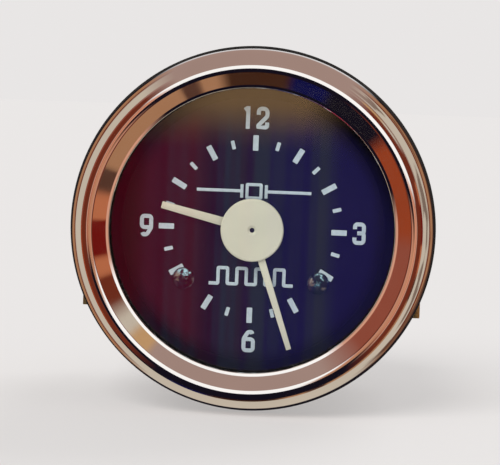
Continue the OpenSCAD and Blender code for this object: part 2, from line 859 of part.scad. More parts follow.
// Hour wheel and its pipe
module hour_wheel() {
    color("whitesmoke") upright() difference() {
        union() {
            toothed(hour_teeth, hour_module, wheel_root_share, hour_wheel_turn, motion_high - motion_t, motion_high);
            disc(pipe_r, motion_low + end_shake, hour_z + hand_t);
        }
        disc(pipe_in, motion_low, hour_z + hand_t + cut);
    }
}

// Centre wheel, free on the minute arbor but for the clutch
module centre_wheel() {
    color("burlywood") upright() difference() {
        union() {
            train_wheel(centre_teeth, centre_turn, 1);
            disc(2 * minute_arbor_r, level_top(1) - gear_t, main_rear - end_shake);
        }
        disc(pipe_in, level_top(1) - gear_t - cut, main_rear);
    }
}

// Third wheel with its pinion
module third_wheel() {
    color("whitesmoke") upright() at(third_place) {
        train_wheel(third_teeth, third_turn, 3);
        train_pinion(third_pinion, third_turn, 1);
        train_arbor();
    }
}

// Second wheel with its pinion
module second_wheel() {
    color("whitesmoke") upright() at(second_place) {
        train_wheel(second_teeth, second_turn, 4);
        train_pinion(second_pinion, second_turn, 3);
        train_arbor();
    }
}

// Intermediate wheel with its pinion
module intermediate_wheel() {
    color("whitesmoke") upright() at(inter_place) {
        train_wheel(inter_teeth, inter_turn, 2);
        train_pinion(inter_pinion, inter_turn, 4);
        train_arbor();
    }
}

// Rotor's pinion and arbor
module rotor_pinion() {
    color("whitesmoke") upright() at(rotor_place) {
        train_pinion(rotor_teeth, rotor_turn, 2);
        train_arbor();
    }
}

// Rotor's magnet
module rotor_magnet() {
    color("slategray") upright() at(rotor_place)
        ring(rotor_d / 2, arbor_d / 2 + seat_clear, rotor_z - rotor_h / 2, rotor_z + rotor_h / 2);
}

// Stator with a hole round the rotor and an arm to each end of the coil
module stator() {
    knee_y = (winding_d + core_w) / 2 + cut - coil_drop;
    color("lightslategray") upright() difference() {
        union() {
            at(rotor_place) disc(stator_d / 2, stator_rear, stator_front);
            for (p = core_places) {
                stator_arm(rotor_place, [p.x, knee_y]);
                stator_arm([p.x, knee_y], p);
            }
        }
        at(rotor_place) disc(rotor_d / 2 + air_gap, stator_rear - cut, stator_front + cut);
        each_at(core_places, stator_rear - cut) cylinder(d = plate_screw_d + 2 * thread_clear, h = stator_t + 2 * cut);
    }
}

// Straight arm with a round eye at its end, from one place to another
module stator_arm(from, to) {
    run = to - from;
    at(from, stator_rear)
        rotate([0, 0, atan2(run.y, run.x)])
            translate([0, -core_w / 2, 0]) cube([norm(run), core_w, stator_t]);
    at(to) disc(core_w / 2 + eye_grow, stator_rear, stator_front);
}

// Bar through the coil, screwed to the stator's arms
module coil_core() {
    color("lightslategray") upright() at(coil_place, stator_front) difference() {
        translate([-core_l / 2, -core_w / 2, 0]) cube([core_l, core_w, stator_t]);
        for (s = [-1, 1])
            translate([s * (core_l - core_w) / 2, 0, -cut])
                cylinder(d = plate_screw_d + 2 * thread_clear, h = stator_t + 2 * cut);
    }
}

// Round bobbin with two flanges and a slot for the core
module coil_bobbin() {
    tube_d = norm([core_w, stator_t]) + 2 * bobbin_wall;
    color("ivory") upright() at(coil_place, coil_z) difference() {
        rotate([0, 90, 0]) {
            cylinder(d = tube_d, h = winding_l, center = true);
            for (s = [-1, 1])
                translate([0, 0, s * (winding_l + bobbin_wall) / 2])
                    cylinder(d = winding_d, h = bobbin_wall, center = true);
        }
        cube([2 * winding_l, core_w + 2 * seat_clear, stator_t + 2 * seat_clear], center = true);
    }
}

// Copper winding on the bobbin
module coil_winding() {
    tube_d = norm([core_w, stator_t]) + 2 * bobbin_wall;
    color("chocolate") upright() at(coil_place, coil_z) rotate([0, 90, 0]) difference() {
        cylinder(d = winding_d - bobbin_wall, h = winding_l, center = true);
        cylinder(d = tube_d, h = 2 * winding_l, center = true);
    }
}

// Two screws that clamp core and stator to the back plate's bosses
module motor_screws() {
    color("silver") upright() each_at(core_places, stator_front + stator_t)
        slotted_screw(core_w, plate_head_h, plate_screw_d, 2 * stator_t + shank_l / 2);
}

// Circuit board, cut straight above the studs
module circuit_board() {
    color("seagreen") upright() difference() {
        intersection() {
            disc(board_d / 2, board_rear, board_front);
            translate([-board_d, board_low, board_rear - cut]) cube([2 * board_d, board_d, board_t + 2 * cut]);
        }
        translate([0, 0, board_rear - cut]) {
            depth = board_t + 2 * cut;
            at(set_place) cylinder(d = shaft_d + 8 * thread_clear, h = depth);
            each_at(spacer_places) cylinder(d = spacer_d / 2 + 2 * seat_clear, h = depth);
            each_at(blade_places) translate([-blade_t / 2 - thread_clear, -tail_w / 2 - thread_clear, 0])
                cube([blade_t + 2 * thread_clear, tail_w + 2 * thread_clear, depth]);
        }
    }
}

// Riveted spacers between back plate and board
module board_spacers() {
    color("goldenrod") upright() each_at(spacer_places) {
        disc(spacer_d / 2, board_front, back_rear);
        disc(spacer_d / 4, board_rear - rivet_h, back_front);
        disc(rivet_share * spacer_d / 2, board_rear - rivet_h, board_rear);
    }
}

// Quartz crystal in its can, lying on the board
module crystal_can() {
    color("gainsboro") upright() at(crystal_place, board_rear - crystal_d / 2)
        rotate([0, 90, 0]) cylinder(d = crystal_d, h = crystal_l, center = true);
}

// Driver chip
module driver_chip() {
    color([0.12, 0.12, 0.13]) upright() at(chip_place, board_rear - chip_h / 2)
        cube([chip_side, 0.8 * chip_side, chip_h], center = true);
}

// Standing capacitor
module capacitor() {
    color("midnightblue") upright() at(capacitor_place)
        disc(capacitor_d / 2, board_rear - capacitor_h, board_rear);
}

// Diode that guards against reversed leads
module diode() {
    color([0.15, 0.15, 0.16]) upright() at(diode_place, board_rear - diode_d / 2)
        rotate([0, 90, 0]) cylinder(d = diode_d, h = diode_l, center = true);
}

// Studs that carry the movement inside and the bracket outside
module rear_studs() {
    color("silver") upright() each_at(stud_places) {
        disc(stud_d / 4, back_rear - cut, back_front);
        disc(stud_spacer_d / 2, back_in, back_rear);
        disc(stud_d / 2, stud_end, back_in + cut);
    }
}

// Hexagon nuts that hold the case on the studs
module stud_nuts() {
    color("silver") upright() each_at(stud_places) difference() {
        translate([0, 0, back_out - nut_t]) cylinder(d = nut_af / cos(30), h = nut_t, $fn = 6);
        disc(stud_d / 2 + thread_clear, back_out - nut_t - cut, back_out + cut);
    }
}

// U-shaped strap that pulls the clock against the panel
module mounting_bracket() {
    color("darkkhaki") upright() difference() {
        translate([0, strap_w / 2 - stud_drop, 0])
            rotate([90, 0, 0]) linear_extrude(strap_w) difference() {
                bent_end(leg_out, bar_rear, bend_r);
                bent_end(leg_in, bar_front, bend_r - strap_t);
            }
        each_at(stud_places, bar_rear - cut) cylinder(d = stud_d + 2 * bracket_clear, h = strap_t + 2 * cut);
    }
}

// Outline from the feet back to a bar with rounded corners
module bent_end(half_w, z, corner) {
    translate([-half_w, z + corner]) square([2 * half_w, -foot_gap - z - corner]);
    translate([corner - half_w, z]) square([2 * (half_w - corner), 2 * corner]);
    for (s = [-1, 1])
        translate([s * (half_w - corner), z + corner]) circle(r = corner, $fn = 48);
}

// Washers under the thumb nuts
module lock_washers() {
    color("silver") upright() each_at(stud_places)
        ring(washer_d / 2, stud_d / 2 + bracket_clear, nut_front, bar_rear);
}

// Thumb nut with a collar and a grooved grip
module thumb_nut(place) {
    collar_h = thumb_h / 5;
    color("goldenrod") upright() at(place) difference() {
        union() {
            disc(collar_share * thumb_d / 2, nut_front - collar_h, nut_front);
            grooved(thumb_d, nut_front - thumb_h, nut_front - collar_h, thumb_grooves);
        }
        disc(stud_d / 2 + run_clear, nut_front - thumb_h - cut, nut_front + cut);
    }
}

// Thumb nut on the 9 o'clock side
module thumb_nut_left() {
    thumb_nut(stud_places[0]);
}

// Thumb nut on the 3 o'clock side
module thumb_nut_right() {
    thumb_nut(stud_places[1]);
}

// Setting shaft with the pinion that turns the minute wheel
module set_shaft() {
    color("darkgray") upright() at(set_place) {
        disc(shaft_d / 2, knob_front - bore_share * knob_l, motion_low);
        toothed(set_teeth, motion_module, pinion_root_share, set_turn, motion_low - motion_t, motion_low);
    }
}

// Bush in the back of the case, flanged on both sides
module set_bush() {
    flange = bush_r() + bush_flange;
    color("goldenrod") upright() at(set_place) difference() {
        union() {
            disc(bush_r(), back_out - bush_t, back_in + bush_t);
            disc(flange, back_out - bush_t, back_out);
            disc(flange, back_in, back_in + bush_t);
        }
        disc(shaft_d / 2 + run_clear, back_out - bush_t - cut, back_in + bush_t + cut);
    }
}

// Setting knob
module set_knob() {
    collar_l = knob_l / 5;
    color([0.1, 0.1, 0.1]) upright() at(set_place) difference() {
        union() {
            disc(collar_share * knob_d / 2, knob_front - collar_l, knob_front);
            grooved(knob_d, knob_front - knob_l, knob_front - collar_l, knob_grooves);
        }
        disc(shaft_d / 2 + seat_clear, knob_front - bore_share * knob_l - seat_clear, knob_front + cut);
    }
}

// Terminal blade with a narrow tail to the board
module terminal_blade(place) {
    blade_end = back_out - insulator_t - blade_l;
    shoulder = back_in + insulator_in;
    half_w = blade_w / 2;
    color("lightsteelblue") upright() at(place) {
        translate([-blade_t / 2, 0, 0]) rotate([90, 0, 90]) linear_extrude(blade_t) difference() {
            polygon([
                [-half_w, shoulder], [-half_w, blade_end + blade_chamfer],
                [blade_chamfer - half_w, blade_end], [half_w - blade_chamfer, blade_end],
                [half_w, blade_end + blade_chamfer], [half_w, shoulder]
            ]);
            translate([0, blade_end + blade_hole_up]) circle(d = blade_hole_d, $fn = 32);
        }
        translate([-blade_t / 2, -tail_w / 2, shoulder - cut])
            cube([blade_t, tail_w, board_front - shoulder + cut]);
    }
}

// Blade for the 12 volt lead
module live_blade() {
    terminal_blade(blade_places[0]);
}

// Blade for the earth lead
module earth_blade() {
    terminal_blade(blade_places[1]);
}

// Block that fills the window for the blades
module boss_block(grow, low, high) {
    w = blade_pitch + blade_t + 2 * (block_side + grow);
    d = blade_w + 2 * (block_end + grow);
    translate([-w / 2, -d / 2, low]) cube([w, d, high - low]);
}

// Insulator that carries the blades in the back of the case
module blade_insulator() {
    slot_l = insulator_t + case_wall + insulator_in + 2 * cut;
    color([0.45, 0.2, 0.1]) upright() difference() {
        at(blade_middle) {
            boss_block(0, back_out - cut, back_in + insulator_in);
            boss_block(insulator_flange, back_out - insulator_t, back_out);
        }
        each_at(blade_places, back_out - insulator_t - cut)
            translate([-blade_t / 2 - seat_clear, -blade_w / 2 - seat_clear, 0])
                cube([blade_t + 2 * seat_clear, blade_w + 2 * seat_clear, slot_l]);
    }
}

// Bulb holder, pushed into the back of the case
module bulb_holder() {
    base_d = base_share * bulb_d;
    color("ivory") upright() at(holder_place) difference() {
        union() {
            disc(holder_d / 2 - 2 * thread_clear, back_out - cut, back_out + holder_depth);
            disc(holder_d / 2 + holder_flange, back_out - holder_flange_t, back_out);
            disc(grip_share * holder_d / 2, back_out - holder_flange_t - grip_l, back_out);
        }
        disc(base_d / 2 + seat_clear, back_out, back_out + holder_depth + cut);
    }
}

// Bulb with a domed glass and its base
module bulb() {
    base_d = base_share * bulb_d;
    glass_low = back_out + holder_depth;
    dome_z = glass_low + bulb_l - bulb_d / 2;
    color([1, 0.98, 0.9]) upright() at(holder_place) {
        disc(base_d / 2, back_out + base_gap, glass_low + cut);
        disc(bulb_d / 2, glass_low, dome_z);
        translate([0, 0, dome_z]) sphere(d = bulb_d);
    }
}

bezel();
lens();
lens_gasket();
visor_ring();
panel_seal();
case();
dial();
dial_screws();
hour_hand();
minute_hand();
hub_cap();
main_plate();
back_plate();
dial_posts();
plate_pillars();
plate_screws();
minute_arbor();
clutch_spring();
minute_wheel();
minute_wheel_post();
hour_wheel();
centre_wheel();
third_wheel();
second_wheel();
intermediate_wheel();
rotor_pinion();
rotor_magnet();
stator();
coil_core();
coil_bobbin();
coil_winding();
motor_screws();
circuit_board();
board_spacers();
crystal_can();
driver_chip();
capacitor();
diode();
rear_studs();
stud_nuts();
mounting_bracket();
lock_washers();
thumb_nut_left();
thumb_nut_right();
set_shaft();
set_bush();
set_knob();
live_blade();
earth_blade();
blade_insulator();
bulb_holder();
bulb();
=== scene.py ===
"""Dashboard clock: the finish and fine shape of every piece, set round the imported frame.

Lengths in the classes are millimetres. A piece is drawn as on the dial: across to 3 o'clock, up to
12 o'clock, and a height that counts from the panel face towards the viewer.
"""

import json
import logging
import math
from dataclasses import dataclass
from enum import Enum
from typing import Callable, Mapping, Optional, Sequence, Union

import bmesh
import bpy
from mathutils import Matrix, Quaternion, Vector


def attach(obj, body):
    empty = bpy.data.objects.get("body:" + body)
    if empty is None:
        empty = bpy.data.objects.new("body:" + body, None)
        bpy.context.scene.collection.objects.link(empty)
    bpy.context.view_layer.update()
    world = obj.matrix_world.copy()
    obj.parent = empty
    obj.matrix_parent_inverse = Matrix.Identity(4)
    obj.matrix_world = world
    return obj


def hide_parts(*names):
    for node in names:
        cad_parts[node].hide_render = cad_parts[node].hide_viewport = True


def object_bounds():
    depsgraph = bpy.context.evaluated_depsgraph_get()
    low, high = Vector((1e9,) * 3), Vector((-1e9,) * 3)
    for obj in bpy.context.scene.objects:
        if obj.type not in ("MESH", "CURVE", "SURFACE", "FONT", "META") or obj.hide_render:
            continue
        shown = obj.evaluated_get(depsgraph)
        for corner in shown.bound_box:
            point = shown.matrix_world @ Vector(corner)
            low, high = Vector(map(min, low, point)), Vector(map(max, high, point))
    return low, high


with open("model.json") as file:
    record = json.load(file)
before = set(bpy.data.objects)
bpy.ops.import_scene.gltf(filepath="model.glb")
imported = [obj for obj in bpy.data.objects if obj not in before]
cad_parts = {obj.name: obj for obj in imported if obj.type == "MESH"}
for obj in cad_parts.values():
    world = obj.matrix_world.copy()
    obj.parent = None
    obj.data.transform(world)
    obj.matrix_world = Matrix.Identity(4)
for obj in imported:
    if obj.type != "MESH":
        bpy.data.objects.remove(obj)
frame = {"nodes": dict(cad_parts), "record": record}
CAD_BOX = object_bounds()

MM = 0.001
FULL_TURN = 2 * math.pi
HOURS = 12
HOUR_ANGLE = 360 / HOURS
# Distances in metres under which points become one, in new meshes and in a node's copy.
WELD, NODE_WELD = 1e-7, 1e-6
# Most of a path's side that the rounding of a corner takes up.
CORNER_SHARE = 0.499
# Least length of a section's run that gets points near its ends, in their distances from the ends.
LONG_RUN = 6
# Least turns in degrees: of a bevelled edge of a slab and of a node's copy, and of an edge that isn't flat.
SLAB_EDGE, NODE_EDGE, FLAT_EDGE = 30.0, 40.0, 0.5
# Places of the sockets of a mix node that is set to colours.
MIX_SHARE, MIX_FIRST, MIX_SECOND, MIX_RESULT = 0, 6, 7, 2

Mesh = bmesh.types.BMesh
Tree = bpy.types.NodeTree
Socket = bpy.types.NodeSocket
Point = tuple[float, float]
Corner = tuple[float, ...]
Span = tuple[float, float]
Colour = tuple[float, float, float]
Radius = Union[float, Callable[[float], float]]

MADE: dict[str, bpy.types.Material] = {}

log = logging.getLogger("dash_clock")


def dial_point(across: float, up: float, height: float) -> Vector:
    """Turns a place on the dial into a point of the frame, in metres."""
    return Vector((across, -height, up)) * MM


def arc(centre: Point, radius: float, start: float, end: float, steps: int) -> list[Point]:
    """Returns points along an arc between two angles in radians, one more than the steps."""
    turns = [start + (end - start) * k / steps for k in range(steps + 1)]
    return [(centre[0] + radius * math.cos(a), centre[1] + radius * math.sin(a)) for a in turns]


def rounded(path: Sequence[Corner], steps: int = 6, closed: bool = False) -> list[Point]:
    """Rounds the corners of a flat path.

    Args:
        path: points as (x, y), or (x, y, radius) where the corner is rounded.
        steps: pieces in each rounded corner.
        closed: True if the last point runs on to the first.

    Returns:
        The points of the rounded path.
    """
    out: list[Point] = []
    last = len(path) - 1
    for i, p in enumerate(path):
        here = Vector(p[:2])
        inner = closed or 0 < i < last
        radius = p[2] if len(p) > 2 and inner else 0.0
        if radius <= 0:
            out.append((here.x, here.y))
            continue
        back = Vector(path[i - 1][:2]) - here
        ahead = Vector(path[(i + 1) % len(path)][:2]) - here
        half = back.angle(ahead) / 2
        reach = min(radius / math.tan(half), CORNER_SHARE * min(back.length, ahead.length))
        radius = reach * math.tan(half)
        inwards = (back.normalized() + ahead.normalized()).normalized()
        middle = here + inwards * (radius / math.sin(half))
        start = here + back.normalized() * reach - middle
        sweep = start.angle_signed(here + ahead.normalized() * reach - middle)
        for k in range(steps + 1):
            spot = middle + Matrix.Rotation(-sweep * k / steps, 2) @ start
            out.append((spot.x, spot.y))
    return out


def held(profile: Sequence[Point], closed: bool, margin: float = 0.04) -> list[Point]:
    """Adds points near the ends of a section's long runs, so that flats stay flat when shaded smooth.

    Args:
        profile: points of the section.
        closed: True if the last point runs on to the first.
        margin: distance of the added points from the ends.

    Returns:
        The section with the added points.
    """
    out: list[Point] = []
    count = len(profile)
    for i, p in enumerate(profile):
        out.append((p[0], p[1]))
        if i == count - 1 and not closed:
            break
        here, there = Vector(p), Vector(profile[(i + 1) % count])
        run = there - here
        if run.length > LONG_RUN * margin:
            inset = run.normalized() * margin
            out += [tuple(here + inset), tuple(there - inset)]
    return out


def lathe(
    profile: Sequence[Point],
    place: Point = (0.0, 0.0),
    steps: int = 160,
    closed: bool = True,
    turn: float = FULL_TURN,
) -> Mesh:
    """Spins a half section round an axis that stands on the dial.

    Args:
        profile: points as (radius, height).
        place: where the axis stands, across and up.
        steps: steps of the spin.
        closed: True if the section is a loop, False if it ends on the axis.
        turn: angle of the spin.

    Returns:
        A bmesh with closed faces that point outwards.
    """
    bm = bmesh.new()
    verts = [bm.verts.new(dial_point(place[0] + r, place[1], z)) for r, z in held(profile, closed)]
    pairs = list(zip(verts, verts[1:])) + ([(verts[-1], verts[0])] if closed else [])
    edges = [bm.edges.new(pair) for pair in pairs]
    whole = turn >= FULL_TURN
    bmesh.ops.spin(
        bm,
        geom=verts + edges,
        cent=dial_point(*place, 0),
        axis=(0, 1, 0),
        angle=turn,
        steps=steps,
        use_merge=whole,
    )
    bmesh.ops.remove_doubles(bm, verts=bm.verts, dist=WELD)
    if not whole:
        bmesh.ops.holes_fill(bm, edges=[e for e in bm.edges if e.is_boundary], sides=0)
    bmesh.ops.recalc_face_normals(bm, faces=bm.faces)
    return bm


def ring_loft(
    levels: Sequence[tuple[Radius, Radius]],
    place: Point,
    count: int,
    closed: bool = True,
) -> Mesh:
    """Bridges rings whose radius and height may change round the axis.

    Args:
        levels: radius and height of each ring, each a number or a function of the angle.
        place: where the axis stands, across and up.
        count: points in a ring.
        closed: True if the last ring runs on to the first, False if both ends are filled.

    Returns:
        A bmesh with closed faces that point outwards.
    """
    bm = bmesh.new()
    loops = []
    for radius, height in levels:
        ring = bmesh.ops.create_circle(bm, segments=count, radius=1.0)["verts"]
        for i, v in enumerate(ring):
            a = FULL_TURN * i / count
            r = radius(a) if callable(radius) else radius
            z = height(a) if callable(height) else height
            v.co = dial_point(place[0] + r * math.cos(a), place[1] + r * math.sin(a), z)
        loops.append([e for e in bm.edges if e.verts[0] in ring and e.verts[1] in ring])
    pairs = list(zip(loops, loops[1:])) + ([(loops[-1], loops[0])] if closed else [])
    for low, high in pairs:
        bmesh.ops.bridge_loops(bm, edges=low + high)
    if not closed:
        bmesh.ops.holes_fill(bm, edges=[e for e in bm.edges if e.is_boundary], sides=0)
    bmesh.ops.recalc_face_normals(bm, faces=bm.faces)
    return bm


def fluted(radius: float, depth: float, count: int, power: float) -> Callable[[float], Radius]:
    """Returns a fluted grip's outline: from how far a ring is moved in, its radius by the angle."""
    return lambda inset: lambda a: radius - inset - depth * max(0.0, math.cos(count * a)) ** power


def slab(outline: Sequence[Point], low: float, high: float, edge: float = 0.0) -> Mesh:
    """Extrudes a flat outline from one height to another, with its edges bevelled.

    Args:
        outline: corners as (across, up).
        low: height of the rear face.
        high: height of the front face.
        edge: width of the bevel, 0 for none.

    Returns:
        A closed bmesh.
    """
    bm = bmesh.new()
    base = bm.faces.new([bm.verts.new(dial_point(x, y, low)) for x, y in outline])
    grown = bmesh.ops.extrude_face_region(bm, geom=[base])["geom"]
    top = [v for v in grown if isinstance(v, bmesh.types.BMVert)]
    bmesh.ops.translate(bm, verts=top, vec=dial_point(0, 0, high - low))
    bmesh.ops.recalc_face_normals(bm, faces=bm.faces)
    if edge > 0:
        bevel_edges(bm, edge, SLAB_EDGE)
    return bm


def bevel_edges(bm: Mesh, width: float, angle: float) -> None:
    """Bevels every edge that turns more than an angle.

    Args:
        bm: the mesh to change.
        width: width of the bevel.
        angle: least turn in degrees.
    """
    least = math.radians(angle)
    sharp = [e for e in bm.edges if len(e.link_faces) == 2 and e.calc_face_angle(0.0) > least]
    bmesh.ops.bevel(
        bm,
        geom=sharp,
        offset=width * MM,
        offset_type="OFFSET",
        affect="EDGES",
        segments=2,
        profile=0.5,
        material=-1,
        clamp_overlap=True,
    )


def swung(bm: Mesh, clockwise: float) -> Mesh:
    """Turns a mesh about the dial's middle.

    Args:
        bm: the mesh, drawn at 12 o'clock.
        clockwise: degrees of the turn.

    Returns:
        The same mesh.
    """
    turn = Matrix.Rotation(math.radians(clockwise), 3, "Y")
    bmesh.ops.rotate(bm, verts=bm.verts, cent=(0, 0, 0), matrix=turn)
    return bm


def joined(*parts: Mesh) -> Mesh:
    """Puts several meshes into one.

    Args:
        parts: the meshes, of which all but the first are freed.

    Returns:
        The first mesh, with the others in it.
    """
    first = parts[0]
    for other in parts[1:]:
        carrier = bpy.data.meshes.new("carrier")
        other.to_mesh(carrier)
        other.free()
        first.from_mesh(carrier)
        bpy.data.meshes.remove(carrier)
    return first


def node_copy(node: str, edge: float) -> Mesh:
    """Copies a node of the frame, welded and with its sharp edges broken.

    Args:
        node: name of the node.
        edge: width of the broken edge.

    Returns:
        The copy as a bmesh.
    """
    bm = bmesh.new()
    bm.from_mesh(frame["nodes"][node].data)
    bmesh.ops.remove_doubles(bm, verts=bm.verts, dist=NODE_WELD)
    bmesh.ops.dissolve_limit(bm, angle_limit=math.radians(FLAT_EDGE), verts=bm.verts, edges=bm.edges)
    bevel_edges(bm, edge, NODE_EDGE)
    return bm


@dataclass(frozen=True)
class Term:
    """A value in a shader tree, with the sums that can be written on it."""

    tree: Tree
    socket: Socket

    def __add__(self, other: "Operand") -> "Term":
        """Adds a value."""
        return self.apply("ADD", other)

    def __sub__(self, other: "Operand") -> "Term":
        """Takes a value away."""
        return self.apply("SUBTRACT", other)

    def __mul__(self, other: "Operand") -> "Term":
        """Multiplies by a value."""
        return self.apply("MULTIPLY", other)

    def __truediv__(self, other: "Operand") -> "Term":
        """Divides by a value."""
        return self.apply("DIVIDE", other)

    def apply(self, operation: str, other: "Operand" = 0.0) -> "Term":
        """Adds a sum to the tree.

        Args:
            operation: the kind of sum.
            other: its second value, where it has one.

        Returns:
            The result.
        """
        node = add_node(self.tree, "Math", {0: self, 1: other})
        node.operation = operation
        return Term(self.tree, node.outputs[0])

    def span(self, low: float, high: float, start: float = 0.0, end: float = 1.0) -> "Term":
        """Maps a span of the value to another one, and holds the result at its ends.

        Args:
            low: value that gives the start.
            high: value that gives the end.
            start: result at the low value.
            end: result at the high value.

        Returns:
            The result.
        """
        limits = {"From Min": low, "From Max": high, "To Min": start, "To Max": end}
        node = add_node(self.tree, "MapRange", {"Value": self, **limits})
        return Term(self.tree, node.outputs["Result"])


Operand = Union[Term, float]
Paint = Union[Socket, Colour]
Inputs = Mapping[Union[str, int], Union[Operand, Socket, Sequence[float]]]


def fill(tree: Tree, node: bpy.types.Node, values: Inputs) -> None:
    """Sets the inputs of a node, or links them.

    Args:
        tree: the tree that holds the node.
        node: the node.
        values: for each input, by name or place, a number, a colour or what feeds it.
    """
    for key, value in values.items():
        value = value.socket if isinstance(value, Term) else value
        if isinstance(value, Socket):
            tree.links.new(value, node.inputs[key])
        else:
            node.inputs[key].default_value = value


def add_node(tree: Tree, kind: str, values: Inputs) -> bpy.types.Node:
    """Adds a shader node.

    Args:
        tree: the tree that gets the node.
        kind: its type, without the word that all shader nodes start with.
        values: its inputs, as for fill.

    Returns:
        The node.
    """
    node = tree.nodes.new("ShaderNode" + kind)
    fill(tree, node, values)
    return node


def mix(share: Term, first: Paint, second: Paint) -> Socket:
    """Mixes two colours.

    Args:
        share: share of the second colour.
        first: a colour, or the socket that gives it.
        second: likewise.

    Returns:
        The mixed colour.
    """
    node = add_node(share.tree, "Mix", {})
    node.data_type = "RGBA"
    low, high = (c if isinstance(c, Socket) else (*c, 1) for c in (first, second))
    fill(share.tree, node, {MIX_SHARE: share, MIX_FIRST: low, MIX_SECOND: high})
    return node.outputs[MIX_RESULT]


class Grain(Enum):
    """How the fine marks of a finish run."""

    SPECKLE = "speckle"
    BRUSHED_ACROSS = "brushed across"
    BRUSHED_DEEP = "brushed along the depth"
    TURNED = "turned"
    WOUND = "wound"


EVEN: Colour = (1, 1, 1)
STRETCH: dict[Grain, Colour] = {
    Grain.SPECKLE: EVEN,
    Grain.BRUSHED_ACROSS: (0.04, 1, 1),
    Grain.BRUSHED_DEEP: (1, 0.04, 1),
}


@dataclass(frozen=True)
class Finish:
    """A surface: its colours, gloss and grain."""

    COAT_ROUGHNESS = 0.08
    CLOUD_DETAIL, GRAIN_DETAIL, WAVE_DETAIL = 3.0, 4.0, 3.0
    WAVE_DISTORTION = 1.5
    # Radians that a wave texture runs through in a length of one, at a scale of one.
    WAVE_RATE = 20

    name: str
    colour: Colour
    shade: Colour
    metallic: float = 0.0
    roughness: float = 0.45
    spread: float = 0.08
    grain: Grain = Grain.SPECKLE
    grain_mm: float = 0.3
    bump: float = 0.15
    bump_mm: float = 0.01
    cloud_mm: float = 5.0
    coat: float = 0.0
    transmission: float = 0.0
    ior: float = 1.5
    specular: float = 0.5
    contrast: float = 2.2

    def material(self) -> bpy.types.Material:
        """Makes the finish a material, once.

        Returns:
            The material.
        """
        if self.name in MADE:
            return MADE[self.name]
        made = bpy.data.materials.new("finish_" + self.name)
        MADE[self.name] = made
        made.use_nodes = True
        tree = made.node_tree
        grain = self._grain(tree)
        cloud = self._noise(tree, self.cloud_mm, self.CLOUD_DETAIL, EVEN)
        half = 0.5 / self.contrast
        smooth, rough = max(self.roughness - self.spread, 0.0), self.roughness + self.spread
        values = {
            "Base Color": mix(cloud.span(0.5 - half, 0.5 + half), self.colour, self.shade),
            "Roughness": grain.span(0, 1, smooth, rough),
            "Metallic": self.metallic,
            "IOR": self.ior,
            "Specular IOR Level": self.specular,
            "Coat Weight": self.coat,
            "Coat Roughness": self.COAT_ROUGHNESS,
            "Transmission Weight": self.transmission,
        }
        if self.bump > 0:
            relief = {"Strength": self.bump, "Distance": self.bump_mm * MM, "Height": grain}
            values["Normal"] = add_node(tree, "Bump", relief).outputs["Normal"]
        fill(tree, tree.nodes["Principled BSDF"], values)
        return made

    def _grain(self, tree: Tree) -> Term:
        """Adds the texture of the grain.

        Args:
            tree: the material's tree.

        Returns:
            The grain's value.
        """
        if self.grain in STRETCH:
            return self._noise(tree, self.grain_mm, self.GRAIN_DETAIL, STRETCH[self.grain])
        wave = add_node(tree, "TexWave", {
            "Vector": self._place(tree, EVEN),
            "Scale": FULL_TURN / (self.WAVE_RATE * self.grain_mm * MM),
            "Distortion": self.WAVE_DISTORTION,
            "Detail": self.WAVE_DETAIL,
        })
        if self.grain is Grain.TURNED:
            wave.wave_type = "RINGS"
            wave.rings_direction = "Y"
        else:
            wave.bands_direction = "X"
        return Term(tree, wave.outputs["Fac"])

    def _noise(self, tree: Tree, size: float, detail: float, stretch: Colour) -> Term:
        """Returns a noise on the object's own coordinates, stretched, with patches of a size."""
        values = {"Vector": self._place(tree, stretch), "Scale": 1 / (size * MM), "Detail": detail}
        return Term(tree, add_node(tree, "TexNoise", values).outputs["Fac"])

    def _place(self, tree: Tree, stretch: Colour) -> Socket:
        """Returns the object's own coordinates, stretched."""
        place = add_node(tree, "TexCoord", {}).outputs["Object"]
        return add_node(tree, "Mapping", {"Vector": place, "Scale": stretch}).outputs["Vector"]


PRINT_WHITE = Finish(
    "print_white", (0.6, 0.7, 0.73), (0.48, 0.59, 0.62), roughness=0.55, grain_mm=0.12, bump=0.2,
    bump_mm=0.006, cloud_mm=0.8, specular=0.3)
HOLDER_IVORY = Finish(
    "holder_ivory", (0.74, 0.7, 0.58), (0.66, 0.61, 0.48), roughness=0.44, grain_mm=0.2, bump=0.2,
    bump_mm=0.012, cloud_mm=3.0)
MOVEMENT_BRASS = Finish(
    "movement_brass", (0.75, 0.57, 0.25), (0.64, 0.47, 0.19), metallic=1.0, roughness=0.3,
    grain=Grain.BRUSHED_ACROSS, grain_mm=0.2, bump=0.12)

